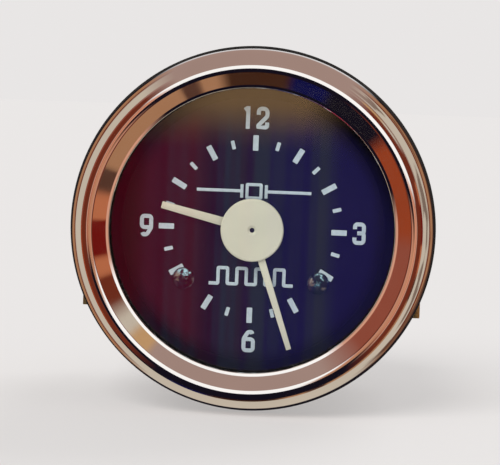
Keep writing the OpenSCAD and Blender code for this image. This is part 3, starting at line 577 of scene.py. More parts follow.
SLOT_FINISH: dict[str, Finish] = {
    "chrome": Finish(
        "chrome_plate", (0.86, 0.85, 0.85), (0.8, 0.79, 0.79), metallic=1.0, roughness=0.06, spread=0.03,
        grain_mm=1.6, bump=0.05, bump_mm=0.02, cloud_mm=14.0),
    "clear_glass": Finish(
        "clear_lens", (1.0, 1.0, 1.0), (0.97, 0.985, 0.98), roughness=0.012, spread=0.012, grain_mm=6.0,
        bump=0.0, transmission=1.0, cloud_mm=20.0),
    "black_rubber": Finish(
        "black_seal_rubber", (0.016, 0.016, 0.017), (0.03, 0.029, 0.028), roughness=0.62, grain_mm=0.12,
        bump=0.4, bump_mm=0.03, cloud_mm=3.0, specular=0.2),
    "visor_black": Finish(
        "visor_black", (0.003, 0.003, 0.0035), (0.006, 0.006, 0.007), roughness=0.65, grain_mm=0.1,
        bump=0.25, specular=0.1),
    "zinc_steel": Finish(
        "zinc_plated_can", (0.62, 0.65, 0.67), (0.47, 0.5, 0.53), metallic=0.78, roughness=0.32, spread=0.1,
        grain=Grain.BRUSHED_DEEP, grain_mm=0.25, bump=0.12, bump_mm=0.008, cloud_mm=6.0),
    "dial_black": Finish(
        "dial_black", (0.002, 0.002, 0.003), (0.005, 0.0045, 0.006), roughness=0.4, spread=0.06,
        grain_mm=0.12, bump=0.1, bump_mm=0.004, cloud_mm=7.0, specular=0.14),
    "screw_black": Finish(
        "screw_black_oxide", (0.012, 0.013, 0.014), (0.36, 0.6, 0.68), metallic=1.0, roughness=0.2,
        spread=0.1, bump=0.7, bump_mm=0.05, cloud_mm=1.1, contrast=9.0),
    "hand_cream": Finish(
        "hand_cream", (0.71, 0.7, 0.53), (0.64, 0.64, 0.49), roughness=0.42, spread=0.05, grain_mm=0.14,
        bump=0.12, bump_mm=0.008, cloud_mm=4.0, coat=0.15),
    "movement_brass": MOVEMENT_BRASS,
    "bright_steel": Finish(
        "bright_zinc_steel", (0.66, 0.67, 0.69), (0.5, 0.51, 0.53), metallic=0.85, roughness=0.27,
        spread=0.1, grain_mm=0.2, bump_mm=0.008, cloud_mm=2.5),
    "arbor_steel": Finish(
        "turned_steel", (0.56, 0.56, 0.58), (0.42, 0.42, 0.44), metallic=1.0, roughness=0.25,
        grain=Grain.BRUSHED_ACROSS, grain_mm=0.15, bump=0.1),
    "spring_bronze": Finish(
        "spring_bronze", (0.62, 0.36, 0.16), (0.5, 0.28, 0.12), metallic=1.0, roughness=0.3,
        grain=Grain.TURNED, grain_mm=0.15, cloud_mm=1.5),
    "white_acetal": Finish(
        "white_acetal", (0.8, 0.8, 0.76), (0.74, 0.73, 0.68), roughness=0.4, grain_mm=0.2, cloud_mm=2.0),
    "wheel_brass": Finish(
        "wheel_brass", (0.8, 0.62, 0.28), (0.7, 0.52, 0.22), metallic=1.0, roughness=0.26,
        grain=Grain.TURNED, grain_mm=0.2, bump=0.12, cloud_mm=3.0),
    "magnet": Finish(
        "sintered_magnet", (0.1, 0.1, 0.11), (0.16, 0.16, 0.17), metallic=0.7, roughness=0.5, grain_mm=0.1,
        bump=0.4, cloud_mm=1.5),
    "motor_iron": Finish(
        "stamped_iron", (0.42, 0.43, 0.45), (0.32, 0.33, 0.35), metallic=1.0, roughness=0.38,
        grain=Grain.BRUSHED_ACROSS, grain_mm=0.2, cloud_mm=2.5),
    "bobbin_ivory": HOLDER_IVORY,
    "copper_wire": Finish(
        "enamelled_copper", (0.62, 0.22, 0.08), (0.45, 0.14, 0.05), metallic=1.0, roughness=0.3,
        grain=Grain.WOUND, grain_mm=0.12, bump=0.8, bump_mm=0.05, cloud_mm=1.5, coat=0.4),
    "board_green": Finish(
        "solder_mask_green", (0.02, 0.13, 0.05), (0.015, 0.09, 0.035), roughness=0.35, grain_mm=0.4,
        bump=0.2, bump_mm=0.02, cloud_mm=2.0, coat=0.3),
    "crystal_tin": Finish(
        "crystal_can_tin", (0.74, 0.74, 0.74), (0.64, 0.64, 0.63), metallic=1.0, roughness=0.24,
        grain=Grain.BRUSHED_ACROSS, grain_mm=0.15, cloud_mm=2.0),
    "chip_black": Finish(
        "chip_black", (0.02, 0.02, 0.022), (0.035, 0.034, 0.034), roughness=0.55, grain_mm=0.1, bump=0.4,
        cloud_mm=1.2),
    "capacitor_blue": Finish(
        "capacitor_sleeve", (0.02, 0.03, 0.12), (0.015, 0.022, 0.09), roughness=0.25, cloud_mm=2.0,
        coat=0.3),
    "yellow_zinc": Finish(
        "yellow_zinc_strap", (0.56, 0.42, 0.15), (0.48, 0.39, 0.19), metallic=0.85, roughness=0.34,
        spread=0.1, grain=Grain.BRUSHED_ACROSS, cloud_mm=4.0),
    "nut_brass": Finish(
        "turned_brass", (0.78, 0.58, 0.25), (0.62, 0.44, 0.18), metallic=1.0, roughness=0.26,
        grain=Grain.BRUSHED_ACROSS, grain_mm=0.12, bump_mm=0.008, cloud_mm=2.0),
    "knob_black": Finish(
        "knob_black", (0.018, 0.018, 0.019), (0.032, 0.031, 0.031), roughness=0.4, grain_mm=0.14, bump=0.3,
        bump_mm=0.015, cloud_mm=2.0),
    "blade_tin": Finish(
        "tinned_blade", (0.74, 0.72, 0.66), (0.6, 0.57, 0.5), metallic=1.0, roughness=0.3, spread=0.1,
        grain=Grain.BRUSHED_DEEP, grain_mm=0.18, bump_mm=0.008, cloud_mm=1.6),
    "fibre_brown": Finish(
        "phenolic_brown", (0.2, 0.075, 0.03), (0.12, 0.042, 0.018), roughness=0.46,
        grain=Grain.BRUSHED_ACROSS, bump=0.3, bump_mm=0.015, cloud_mm=1.2),
    "holder_ivory": HOLDER_IVORY,
    "bulb_glass": Finish(
        "bulb_glass", (1.0, 0.99, 0.96), (0.97, 0.95, 0.9), roughness=0.02, spread=0.02, grain_mm=2.0,
        bump=0.0, transmission=1.0, ior=1.45),
}


def add_piece(
    name: str,
    bm: Mesh,
    slot: str,
    body: str,
    nodes: Sequence[str] = (),
    finish: Optional[Finish] = None,
    crease: float = 35.0,
) -> bpy.types.Object:
    """Makes a finished piece of a mesh and puts it on its body.

    Args:
        name: name of the piece.
        bm: its mesh, which is freed.
        slot: material slot of the record, whose finish the piece takes unless one is given.
        body: body that the piece rides on.
        nodes: nodes of the frame that it stands for.
        finish: its finish, if it isn't the slot's own.
        crease: turn in degrees from which an edge is shaded sharp.

    Returns:
        The piece.
    """
    limit = math.radians(crease)
    for face in bm.faces:
        face.smooth = True
    for edge in bm.edges:
        edge.smooth = len(edge.link_faces) == 2 and edge.calc_face_angle(0.0) < limit
    mesh = bpy.data.meshes.new(name)
    bm.to_mesh(mesh)
    bm.free()
    mesh.materials.append((finish or SLOT_FINISH[slot]).material())
    piece = bpy.data.objects.new(name, mesh)
    bpy.context.scene.collection.objects.link(piece)
    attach(piece, body)
    if nodes:
        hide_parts(*nodes)
    log.info("%s: %d faces on %s", name, len(mesh.polygons), body)
    return piece


@dataclass
class BezelGroup:
    """Chromed bezel, glass, visor and seal."""

    rim_r: float = 29.5
    rim_top: float = 3.0
    rim_round: float = 0.35
    hook_r: float = 26.8
    flange_back: float = 1.8
    sheet: float = 0.6
    crest_r: float = 26.45
    crest_w: float = 0.5
    crest_z: float = 7.78
    ridge_tilt: float = 8.0
    ridge_out: float = 0.12
    ridge_out_round: float = 1.0
    ridge_in: float = 0.45
    ridge_in_round: float = 0.75
    lip_r: float = 23.68
    lip_tilt: float = 20.0
    lip_start: float = 0.05
    lip_step: Point = (0.04, 0.015)
    lip_foot: float = 0.4
    lip_nose: float = 0.28
    opening_r: float = 23.08
    glass_rear: float = 3.1
    glass_front: float = 5.1
    glass_r: float = 27.6
    glass_round: float = 0.15
    visor_out: float = 24.4
    visor_front: float = 23.44
    visor_rear: float = 21.64
    visor_step: float = 0.35
    visor_rounds: Span = (0.1, 0.12)
    seal_top: float = 1.2
    seal_r: float = 29.99
    seal_in: float = 25.9
    seal_neck: float = 25.4
    seal_rounds: Span = (0.3, 0.14)

    def build(self) -> None:
        """Makes the ring, the glass and what lies round them."""
        ring = lathe(self._bezel(), steps=256)
        add_piece("bezel_ring", ring, "chrome", "clock_body", ["bezel"], crease=14)
        rear, front, edge = self.glass_rear, self.glass_front, self.glass_round
        glass = rounded(
            [(0, rear), (self.glass_r, rear, edge), (self.glass_r, front, edge), (0, front)], steps=3)
        lens = add_piece("lens_disc", lathe(glass, closed=False), "clear_glass", "clock_body", ["lens"])
        lens.visible_shadow = False
        lens.visible_diffuse = False
        lens.visible_glossy = False
        visor = rounded(
            [(self.visor_out, 0), (self.visor_out, rear), (self.visor_front, rear, self.visor_rounds[0]),
             (self.visor_rear, self.visor_step, self.visor_rounds[1]), (self.visor_rear, 0)],
            steps=3, closed=True)
        add_piece("visor_cone", lathe(visor), "visor_black", "clock_body", ["visor_ring"])
        top, half, rounds = self.seal_top, self.seal_top / 2, self.seal_rounds
        seal = rounded(
            [(self.seal_in, 0), (self.seal_r, 0, rounds[0]), (self.seal_r, top, rounds[1]),
             (self.seal_neck, top), (self.seal_neck, half), (self.seal_in, half)],
            steps=4, closed=True)
        add_piece("seal_ring", lathe(seal, steps=200), "black_rubber", "clock_body", ["panel_seal"])

    def _bezel(self) -> list[Point]:
        """Draws the bezel's section.

        Returns:
            Its points, from the hook round the outside to the lip and back inside.
        """
        rise, inset = self.crest_z - self.rim_top, self.rim_r - self.crest_r
        roll_r = (inset * inset + rise * rise) / (2 * inset)
        middle = (self.rim_r - roll_r, self.rim_top)
        top = math.acos((self.crest_r - middle[0]) / roll_r)
        outer = arc(middle, roll_r, 0, top, steps=24)[:-1]
        inner = arc(middle, roll_r - self.sheet, 0, top, steps=12)[::-1]
        nose, tilt = self.lip_nose, math.radians(self.lip_tilt)
        nose_middle = (self.opening_r + nose, self.glass_front + nose)
        lip = arc(nose_middle, nose, tilt + math.pi / 2, 3 * math.pi / 2, steps=10)
        land_r = self.lip_r - self.lip_start
        land = (land_r, lip[0][1] + (land_r - lip[0][0]) * math.tan(tilt))
        ridge_r = self.crest_r - self.crest_w / 2
        out_r, slope = self.crest_r + self.ridge_out, math.tan(math.radians(self.ridge_tilt))
        outward = (out_r, self.crest_z - (out_r - ridge_r) * slope, self.ridge_out_round)
        inward = (ridge_r - self.ridge_in, self.crest_z - self.ridge_in * slope, self.ridge_in_round)
        face = rounded([outer[-2], outward, (ridge_r, self.crest_z), inward, land], steps=8)
        face.append((land[0] - self.lip_step[0], land[1] - self.lip_step[1]))
        under = [
            (self.lip_r + self.lip_foot, self.glass_front),
            (self.crest_r - self.crest_w, self.crest_z - self.sheet),
        ]
        rim = rounded(
            [(self.hook_r, self.flange_back), (self.hook_r, self.seal_top),
             (self.rim_r, self.seal_top, self.rim_round), (self.rim_r, self.rim_top)], steps=4)
        hollow = [(self.rim_r - self.sheet, self.flange_back)]
        return rim + outer[1:-2] + face + lip + under + inner + hollow


@dataclass
class DialGroup:
    """Dial plate, its print and its two screws."""

    # Centre lines of the numerals and of a sign, from each one's middle: across, up and a corner's radius.
    ONE = (((0.0, -1.85), (0.0, 1.85)), ((-0.56, 1.22), (-0.12, 1.56)))
    TWO = (
        (-0.7, 0.52), (-0.7, 1.52, 0.55), (0.72, 1.52, 0.6), (0.72, 0.3, 0.6), (-0.72, -1.25, 0.25),
        (-0.72, -1.52), (0.72, -1.52, 0.3), (0.72, -0.7),
    )
    THREE = (
        ((-0.72, 0.72), (-0.72, 1.52, 0.5), (0.74, 1.52, 0.5), (0.74, 0.06, 0.4), (-0.32, 0.06)),
        ((-0.2, 0.06), (0.76, 0.06, 0.4), (0.76, -1.52, 0.45), (-0.74, -1.52, 0.45), (-0.74, -0.66)),
    )
    SIX = (
        (0.62, 1.22), (0.48, 1.56, 0.3), (-0.12, 1.5, 0.5), (-0.77, 0.4, 0.7), (-0.77, -1.52, 0.45),
        (0.77, -1.52, 0.45), (0.77, 0.34, 0.5), (-0.72, 0.34),
    )
    CRYSTAL = (
        ((-9.4, 0), (-2.0, 0)), ((-2.0, -1.1), (-2.0, 1.1)),
        ((2.0, -1.1), (2.0, 1.1)), ((2.0, 0), (9.4, 0)),
        ((0, 1.1), (-1.15, 1.1, 0.1), (-1.15, -1.1, 0.1), (1.15, -1.1, 0.1), (1.15, 1.1, 0.1),
         (-0.06, 1.1)),
    )
    # Share of the cross recess's full width, and depth under the top of the screw.
    RECESS = ((0.3, 0.62), (0.62, 0.5), (0.9, 0.12), (1.0, 0.05))

    dial_r: float = 24.4
    dial_rear: float = -0.8
    dial_round: float = 0.08
    pipe_hole_r: float = 1.7
    print_t: float = 0.03
    mark_r: float = 14.2
    mark_round: float = 0.1
    hour_mark: Point = (0.9, 2.53)
    half_mark: Point = (0.6, 1.43)
    hidden_halves: tuple[int, int] = (4, 7)
    stroke: float = 0.66
    numeral_x: float = 17.5
    twelve_up: float = 18.3
    six_drop: float = 18.5
    one_shift: float = -1.44
    two_shift: float = 0.99
    crystal_up: float = 6.25
    crystal_stroke: float = 0.5
    pulse_drop: float = 7.8
    pulse_stroke: float = 0.55
    pulse_ends: Span = (-6.9, 6.95)
    pulse_first: float = -5.4
    pulse_w: float = 1.55
    pulse_h: float = 1.3
    pulse_count: int = 4
    pulse_round: float = 0.16
    screw_x: float = 11.1
    screw_drop: float = 8.5
    head_r: float = 1.83
    head_h: float = 0.8
    skirt_h: float = 0.22
    dome_start: float = 31.0
    cross_core: float = 0.26
    cross_arm: float = 0.62
    cross_turn: float = 1.1
    cross_power: int = 3
    shank_r: float = 0.8
    shank_end: float = -2.8

    def build(self) -> None:
        """Makes the dial, its marks, its numerals and its screws."""
        hole, rim, rear, edge = self.pipe_hole_r, self.dial_r, self.dial_rear, self.dial_round
        plate = rounded([(hole, rear), (rim, rear), (rim, 0, edge), (hole, 0, edge)], steps=3, closed=True)
        add_piece("dial_plate", lathe(plate), "dial_black", "clock_body", ["dial"])
        hours = joined(*[self._mark(k, self.hour_mark) for k in range(HOURS)])
        add_piece("hour_marks", hours, "dial_black", "clock_body", finish=PRINT_WHITE)
        seen = [k for k in range(HOURS) if k not in self.hidden_halves]
        halves = joined(*[self._mark(k + 0.5, self.half_mark) for k in seen])
        add_piece("half_hour_marks", halves, "dial_black", "clock_body", finish=PRINT_WHITE)
        twelve = [[(x + self.one_shift, *rest) for x, *rest in stroke] for stroke in self.ONE]
        twelve.append([(x + self.two_shift, *rest) for x, *rest in self.TWO])
        nine = [(-x, -y, *rest) for x, y, *rest in self.SIX]
        self._print("numeral_12", twelve, (0, self.twelve_up), self.stroke)
        self._print("numeral_3", self.THREE, (self.numeral_x, 0), self.stroke)
        self._print("numeral_6", [self.SIX], (0, -self.six_drop), self.stroke)
        self._print("numeral_9", [nine], (-self.numeral_x, 0), self.stroke)
        self._print("crystal_sign", self.CRYSTAL, (0, self.crystal_up), self.crystal_stroke)
        self._print("pulse_sign", [self._pulses()], (0, -self.pulse_drop), self.pulse_stroke)
        screws = joined(*[self._screw((side * self.screw_x, -self.screw_drop)) for side in (-1, 1)])
        add_piece("dial_screw_pair", screws, "screw_black", "clock_body", ["dial_screws"], crease=50)

    def _mark(self, hour: float, size: Point) -> Mesh:
        """Makes one printed bar.

        Args:
            hour: where it stands on the dial.
            size: width and length of the bar.

        Returns:
            The bar as a bmesh.
        """
        half, low, high = size[0] / 2, self.mark_r - size[1] / 2, self.mark_r + size[1] / 2
        corners = ((-half, low), (half, low), (half, high), (-half, high))
        outline = rounded([(*corner, self.mark_round) for corner in corners], steps=3, closed=True)
        return swung(slab(outline, -self.print_t, self.print_t), HOUR_ANGLE * hour)

    def _pulses(self) -> list[Corner]:
        """Draws the centre line of the square pulses.

        Returns:
            Its corners.
        """
        high, width, edge = self.pulse_h, self.pulse_w, self.pulse_round
        line: list[Corner] = [(self.pulse_ends[0], -high)]
        for k in range(self.pulse_count):
            x = self.pulse_first + 2 * width * k
            line += [(x, -high, edge), (x, high, edge), (x + width, high, edge), (x + width, -high, edge)]
        return line + [(self.pulse_ends[1], -high)]

    def _print(self, name: str, strokes: Sequence[Sequence[Corner]], place: Point, width: float) -> None:
        """Prints a sign on the dial from its centre lines.

        Args:
            name: name of the piece.
            strokes: paths of the centre lines, across and up from the sign's middle.
            place: the sign's middle on the dial.
            width: width of the strokes.
        """
        curve = bpy.data.curves.new(name, "CURVE")
        curve.dimensions = "3D"
        curve.bevel_depth = width / 2 * MM
        curve.bevel_resolution = 2
        curve.use_fill_caps = True
        for stroke in strokes:
            path = rounded(stroke, steps=8)
            spline = curve.splines.new("POLY")
            spline.points.add(len(path) - 1)
            for knot, (x, y) in zip(spline.points, path):
                knot.co = (x * MM, y * MM, 0, 1)
        tube = bpy.data.objects.new(name + "_path", curve)
        bpy.context.scene.collection.objects.link(tube)
        bpy.context.view_layer.update()
        made = bpy.data.meshes.new_from_object(tube.evaluated_get(bpy.context.evaluated_depsgraph_get()))
        bpy.data.objects.remove(tube)
        bpy.data.curves.remove(curve)
        flat = bmesh.new()
        flat.from_mesh(made)
        bpy.data.meshes.remove(made)
        upright = Matrix.Rotation(math.pi / 2, 3, "X")
        bmesh.ops.scale(flat, vec=(1, 1, 2 * self.print_t / width), verts=flat.verts)
        bmesh.ops.rotate(flat, verts=flat.verts, cent=(0, 0, 0), matrix=upright)
        bmesh.ops.translate(flat, verts=flat.verts, vec=dial_point(*place, 0))
        bmesh.ops.remove_doubles(flat, verts=flat.verts, dist=WELD)
        bmesh.ops.recalc_face_normals(flat, faces=flat.faces)
        add_piece(name, flat, "dial_black", "clock_body", finish=PRINT_WHITE)

    def _screw(self, place: Point) -> Mesh:
        """Makes a domed screw with a cross recess.

        Args:
            place: where it stands on the dial.

        Returns:
            The screw as a bmesh.
        """
        def cross(share: float) -> Radius:
            """Returns the recess's radius round the screw, for a share of its width."""
            core, arm, turn, power = self.cross_core, self.cross_arm, self.cross_turn, self.cross_power
            return lambda a: (core + arm * abs(math.cos(2 * a - turn)) ** power) * share

        top, skirt = self.head_h, self.skirt_h
        start = math.radians(90 - self.dome_start)
        dome = [(self.head_r * x, skirt + (top - skirt) * z) for x, z in arc((0, 0), 1, start, 0, steps=9)]
        recess = [(cross(share), top - depth) for share, depth in self.RECESS]
        shank = [(self.head_r, 0.0), (self.shank_r, 0.0), (self.shank_r, self.shank_end)]
        return ring_loft(recess + dome + shank, place, count=64, closed=False)


@dataclass
class HandGroup:
    """The two hands and the hub cap."""

    minute_angle: float = 160.8
    minute_size: tuple[float, float, float] = (20.5, 1.35, 0.85)
    minute_z: float = 1.8
    minute_start: float = 1.2
    minute_bore: float = 0.82
    minute_eye: float = 2.2
    hour_angle: float = 283.4
    hour_size: tuple[float, float, float] = (15.4, 1.55, 1.15)
    hour_z: float = 1.1
    hour_start: float = 1.7
    hour_bore: float = 1.42
    hour_eye: float = 2.1
    hour_foot: float = 0.4
    eye_rounds: Span = (0.1, 0.08)
    blade_t: float = 0.3
    blade_edge: float = 0.06
    tip_round: float = 0.14
    hub_r: float = 5.15
    hub_rear: float = 2.1
    hub_front: float = 2.6
    hub_rounds: Span = (0.08, 0.24)
    hole_r: float = 0.4
    dimple_r: float = 0.8
    dimple_depth: float = 0.22
    dimple_rounds: Span = (0.12, 0.06)
    # Black plug in the hub's hole, painted shade of the hole: its play, height and dome.
    shade_plug_play: float = 0.01
    shade_plug_h: float = 0.12
    shade_plug_dome: float = 0.04

    def build(self) -> None:
        """Makes the hands and the cap."""
        bore, eye, low, top = self.hour_bore, self.hour_eye, self.hour_foot, self.hour_z + self.blade_t
        under, over = self.eye_rounds
        collar = rounded(
            [(bore, low), (eye, low, under), (eye, top, over), (bore, top)], steps=3, closed=True)
        blade = self._blade(self.hour_size, self.hour_z, self.hour_angle, self.hour_start)
        hour = joined(blade, lathe(collar, steps=96))
        add_piece("hour_blade", hour, "hand_cream", "hour_works", ["hour_hand"])
        bore, eye, low, top = self.minute_bore, self.minute_eye, self.minute_z, self.minute_z + self.blade_t
        collar = [(bore, low), (eye, low), (eye, top), (bore, top)]
        blade = self._blade(self.minute_size, low, self.minute_angle, self.minute_start)
        minute = joined(blade, lathe(collar, steps=96))
        add_piece("minute_blade", minute, "hand_cream", "minute_works", ["minute_hand"])
        hole, hub, rear, front = self.hole_r, self.hub_r, self.hub_rear, self.hub_front
        cap = rounded(
            [(hole, rear), (hub, rear, self.hub_rounds[0]), (hub, front, self.hub_rounds[1]),
             (self.dimple_r, front, self.dimple_rounds[0]),
             (hole, front - self.dimple_depth, self.dimple_rounds[1])], steps=5, closed=True)
        add_piece("hub_disc", lathe(cap), "hand_cream", "minute_works", ["hub_cap"])
        # A black plug sunk in the hub's hole: painted shade that darkens the hole.
        foot, wall = rear + self.shade_plug_play, hole - self.shade_plug_play
        shoulder = foot + self.shade_plug_h
        shade_plug = [(0, foot), (wall, foot), (wall, shoulder), (0, shoulder + self.shade_plug_dome)]
        add_piece("hub_hole_shade_plug", lathe(shade_plug, steps=48, closed=False), "visor_black", "minute_works")

    def _blade(self, size: tuple[float, float, float], low: float, clockwise: float, start: float) -> Mesh:
        """Makes a tapered blade.

        Args:
            size: length, width at the hub and width at the tip.
            low: height of its rear face.
            clockwise: degrees from 12 o'clock.
            start: distance from the centre at which it starts.

        Returns:
            The blade as a bmesh.
        """
        length, hub_w, tip_w = size
        start_w = hub_w + (tip_w - hub_w) * start / length
        near, far, tip = start_w / 2, tip_w / 2, self.tip_round
        outline = rounded(
            [(-near, start), (near, start), (far, length, tip), (-far, length, tip)], steps=4, closed=True)
        return swung(slab(outline, low, low + self.blade_t, self.blade_edge), clockwise)


@dataclass
class CaseGroup:
    """Steel can, terminals, setting knob and lamp."""

    # Pieces that copy a node: name, node, slot and width of the broken edges.
    COPIES = (
        ("steel_can", "case", "zinc_steel", 0.12),
        ("terminal_block", "blade_insulator", "fibre_brown", 0.2),
        ("live_blade_tab", "live_blade", "blade_tin", 0.14),
        ("earth_blade_tab", "earth_blade", "blade_tin", 0.14),
        ("shaft_bush", "set_bush", "movement_brass", 0.1),
    )
    # How far a ring of the knob's grip is moved in, and its distance from the collar or the rear end.
    FRONT_EDGE = ((0.6, 0.0), (0.12, 0.25), (0.0, 0.6))
    REAR_EDGE = ((0.0, 0.7), (0.16, 0.28), (0.55, 0.0))
    # Radius of the rings in the knob's dished end, and their depth.
    DISH = ((3.7, 0.0), (3.4, 0.2), (2.2, 0.38), (1.0, 0.44))
    # Share of the pitch at which a rib of the lamp's grip has a corner, and share of its depth there.
    RIB = ((0.0, 0.0), (0.6, 0.0), (0.7, 1.0), (0.95, 1.0))

    back: float = -34.0
    set_place: Point = (0.0, 12.0)
    knob_r: float = 5.0
    knob_front: float = -35.7
    knob_rear: float = -43.7
    knob_grooves: int = 16
    groove_depth: float = 0.42
    groove_points: int = 12
    collar_r: float = 3.6
    collar_edge: float = 0.3
    collar_h: float = 1.6
    shaft_r: float = 1.0
    shaft_play: float = 0.02
    shaft_stop: float = 2.02
    lamp_place: Point = (-13.5, 6.0)
    lamp_r: float = 4.9
    lamp_in: float = -29.0
    lamp_round: float = 0.4
    flange_r: float = 6.6
    flange_t: float = 1.2
    flange_rounds: Span = (0.2, 0.35)
    grip_r: float = 4.2
    grip_neck: float = 0.2
    grip_rear: float = -40.2
    grip_round: float = 0.5
    rib_count: int = 4
    rib_depth: float = 0.35
    rib_gap: float = 0.6
    rib_round: float = 0.1
    pip_r: Span = (0.6, 0.5)
    pip_depth: float = 0.8
    socket_r: float = 2.54
    socket_play: float = 0.02
    bulb_r: float = 3.4
    bulb_tip: float = -22.0
    bulb_foot: float = 0.3
    bulb_neck: float = 1.2
    bulb_rounds: Span = (0.2, 0.8)
    cap_foot: float = 0.6
    cap_rounds: Span = (0.3, 0.15)

    def build(self) -> None:
        """Makes the can and what sits in its back."""
        for name, node, slot, edge in self.COPIES:
            add_piece(name, node_copy(node, edge), slot, "clock_body", [node])
        add_piece("setting_knob", self._knob(), "knob_black", "setting_works", ["set_knob"], crease=40)
        holder = lathe(self._holder(), self.lamp_place, steps=128)
        add_piece("lamp_holder", holder, "holder_ivory", "lamp_works", ["bulb_holder"])
        self._bulb()

    def _knob(self) -> Mesh:
        """Makes the fluted knob with a collar and a dished end.

        Returns:
            The knob as a bmesh.
        """
        grip = fluted(self.knob_r, self.groove_depth, self.knob_grooves, power=2)
        front, rear, collar = self.knob_front, self.knob_rear, self.knob_front - self.collar_h
        bore = self.shaft_r + self.shaft_play
        levels = [
            (bore, rear + self.shaft_stop), (bore, front), (self.collar_r - self.collar_edge, front),
            (self.collar_r, front - self.collar_edge), (self.collar_r, collar),
            *((grip(inset), collar - off) for inset, off in self.FRONT_EDGE),
            *((grip(inset), rear + off) for inset, off in self.REAR_EDGE),
            *((radius, rear + depth) for radius, depth in self.DISH),
        ]
        return ring_loft(levels, self.set_place, self.knob_grooves * self.groove_points, closed=False)

    def _holder(self) -> list[Point]:
        """Draws the section of the bulb holder, with a ribbed grip.

        Returns:
            Its points.
        """
        back, inside, rear = self.back, self.lamp_in, self.grip_rear
        flange_rear = back - self.flange_t
        bore, flange, rounds = self.socket_r + self.socket_play, self.flange_r, self.flange_rounds
        front: list[Corner] = [
            (bore, back), (bore, inside), (self.lamp_r, inside, self.lamp_round), (self.lamp_r, back),
            (flange, back, rounds[0]), (flange, flange_rear, rounds[1]),
            (self.grip_r - self.grip_neck, flange_rear, self.grip_neck),
        ]
        rib_top = flange_rear - self.rib_gap
        pitch = (rib_top - rear - self.rib_gap) / self.rib_count
        ribs: list[Corner] = [
            (self.grip_r - sunk * self.rib_depth, rib_top - pitch * k - share * pitch, self.rib_round)
            for k in range(self.rib_count) for share, sunk in self.RIB
        ]
        pip = rear + self.pip_depth
        end: list[Corner] = [
            (self.grip_r, rear, self.grip_round), (self.pip_r[0], rear, self.rib_round),
            (self.pip_r[1], pip, self.rib_round), (0, pip), (0, back),
        ]
        return rounded(front + ribs + end, steps=3, closed=True)

    def _bulb(self) -> None:
        """Makes the bulb's glass and its cap."""
        base = self.lamp_in
        skin = arc((0, self.bulb_tip - self.bulb_r), self.bulb_r, 0, math.pi / 2, steps=16)
        foot = rounded(
            [(0, base), (self.socket_r - self.bulb_foot, base, self.bulb_rounds[0]),
             (self.bulb_r, base + self.bulb_neck, self.bulb_rounds[1])], steps=6)
        glass = lathe(foot + skin, self.lamp_place, steps=96, closed=False)
        add_piece("bulb_envelope", glass, "bulb_glass", "lamp_works", ["bulb"])
        low, high = self.back + self.cap_foot, base - self.socket_play
        section = rounded(
            [(0, low), (self.socket_r, low, self.cap_rounds[0]), (self.socket_r, high, self.cap_rounds[1]),
             (0, high)], steps=4)
        cap = lathe(section, self.lamp_place, steps=96, closed=False)
        add_piece("bulb_cap", cap, "bulb_glass", "lamp_works", finish=MOVEMENT_BRASS)


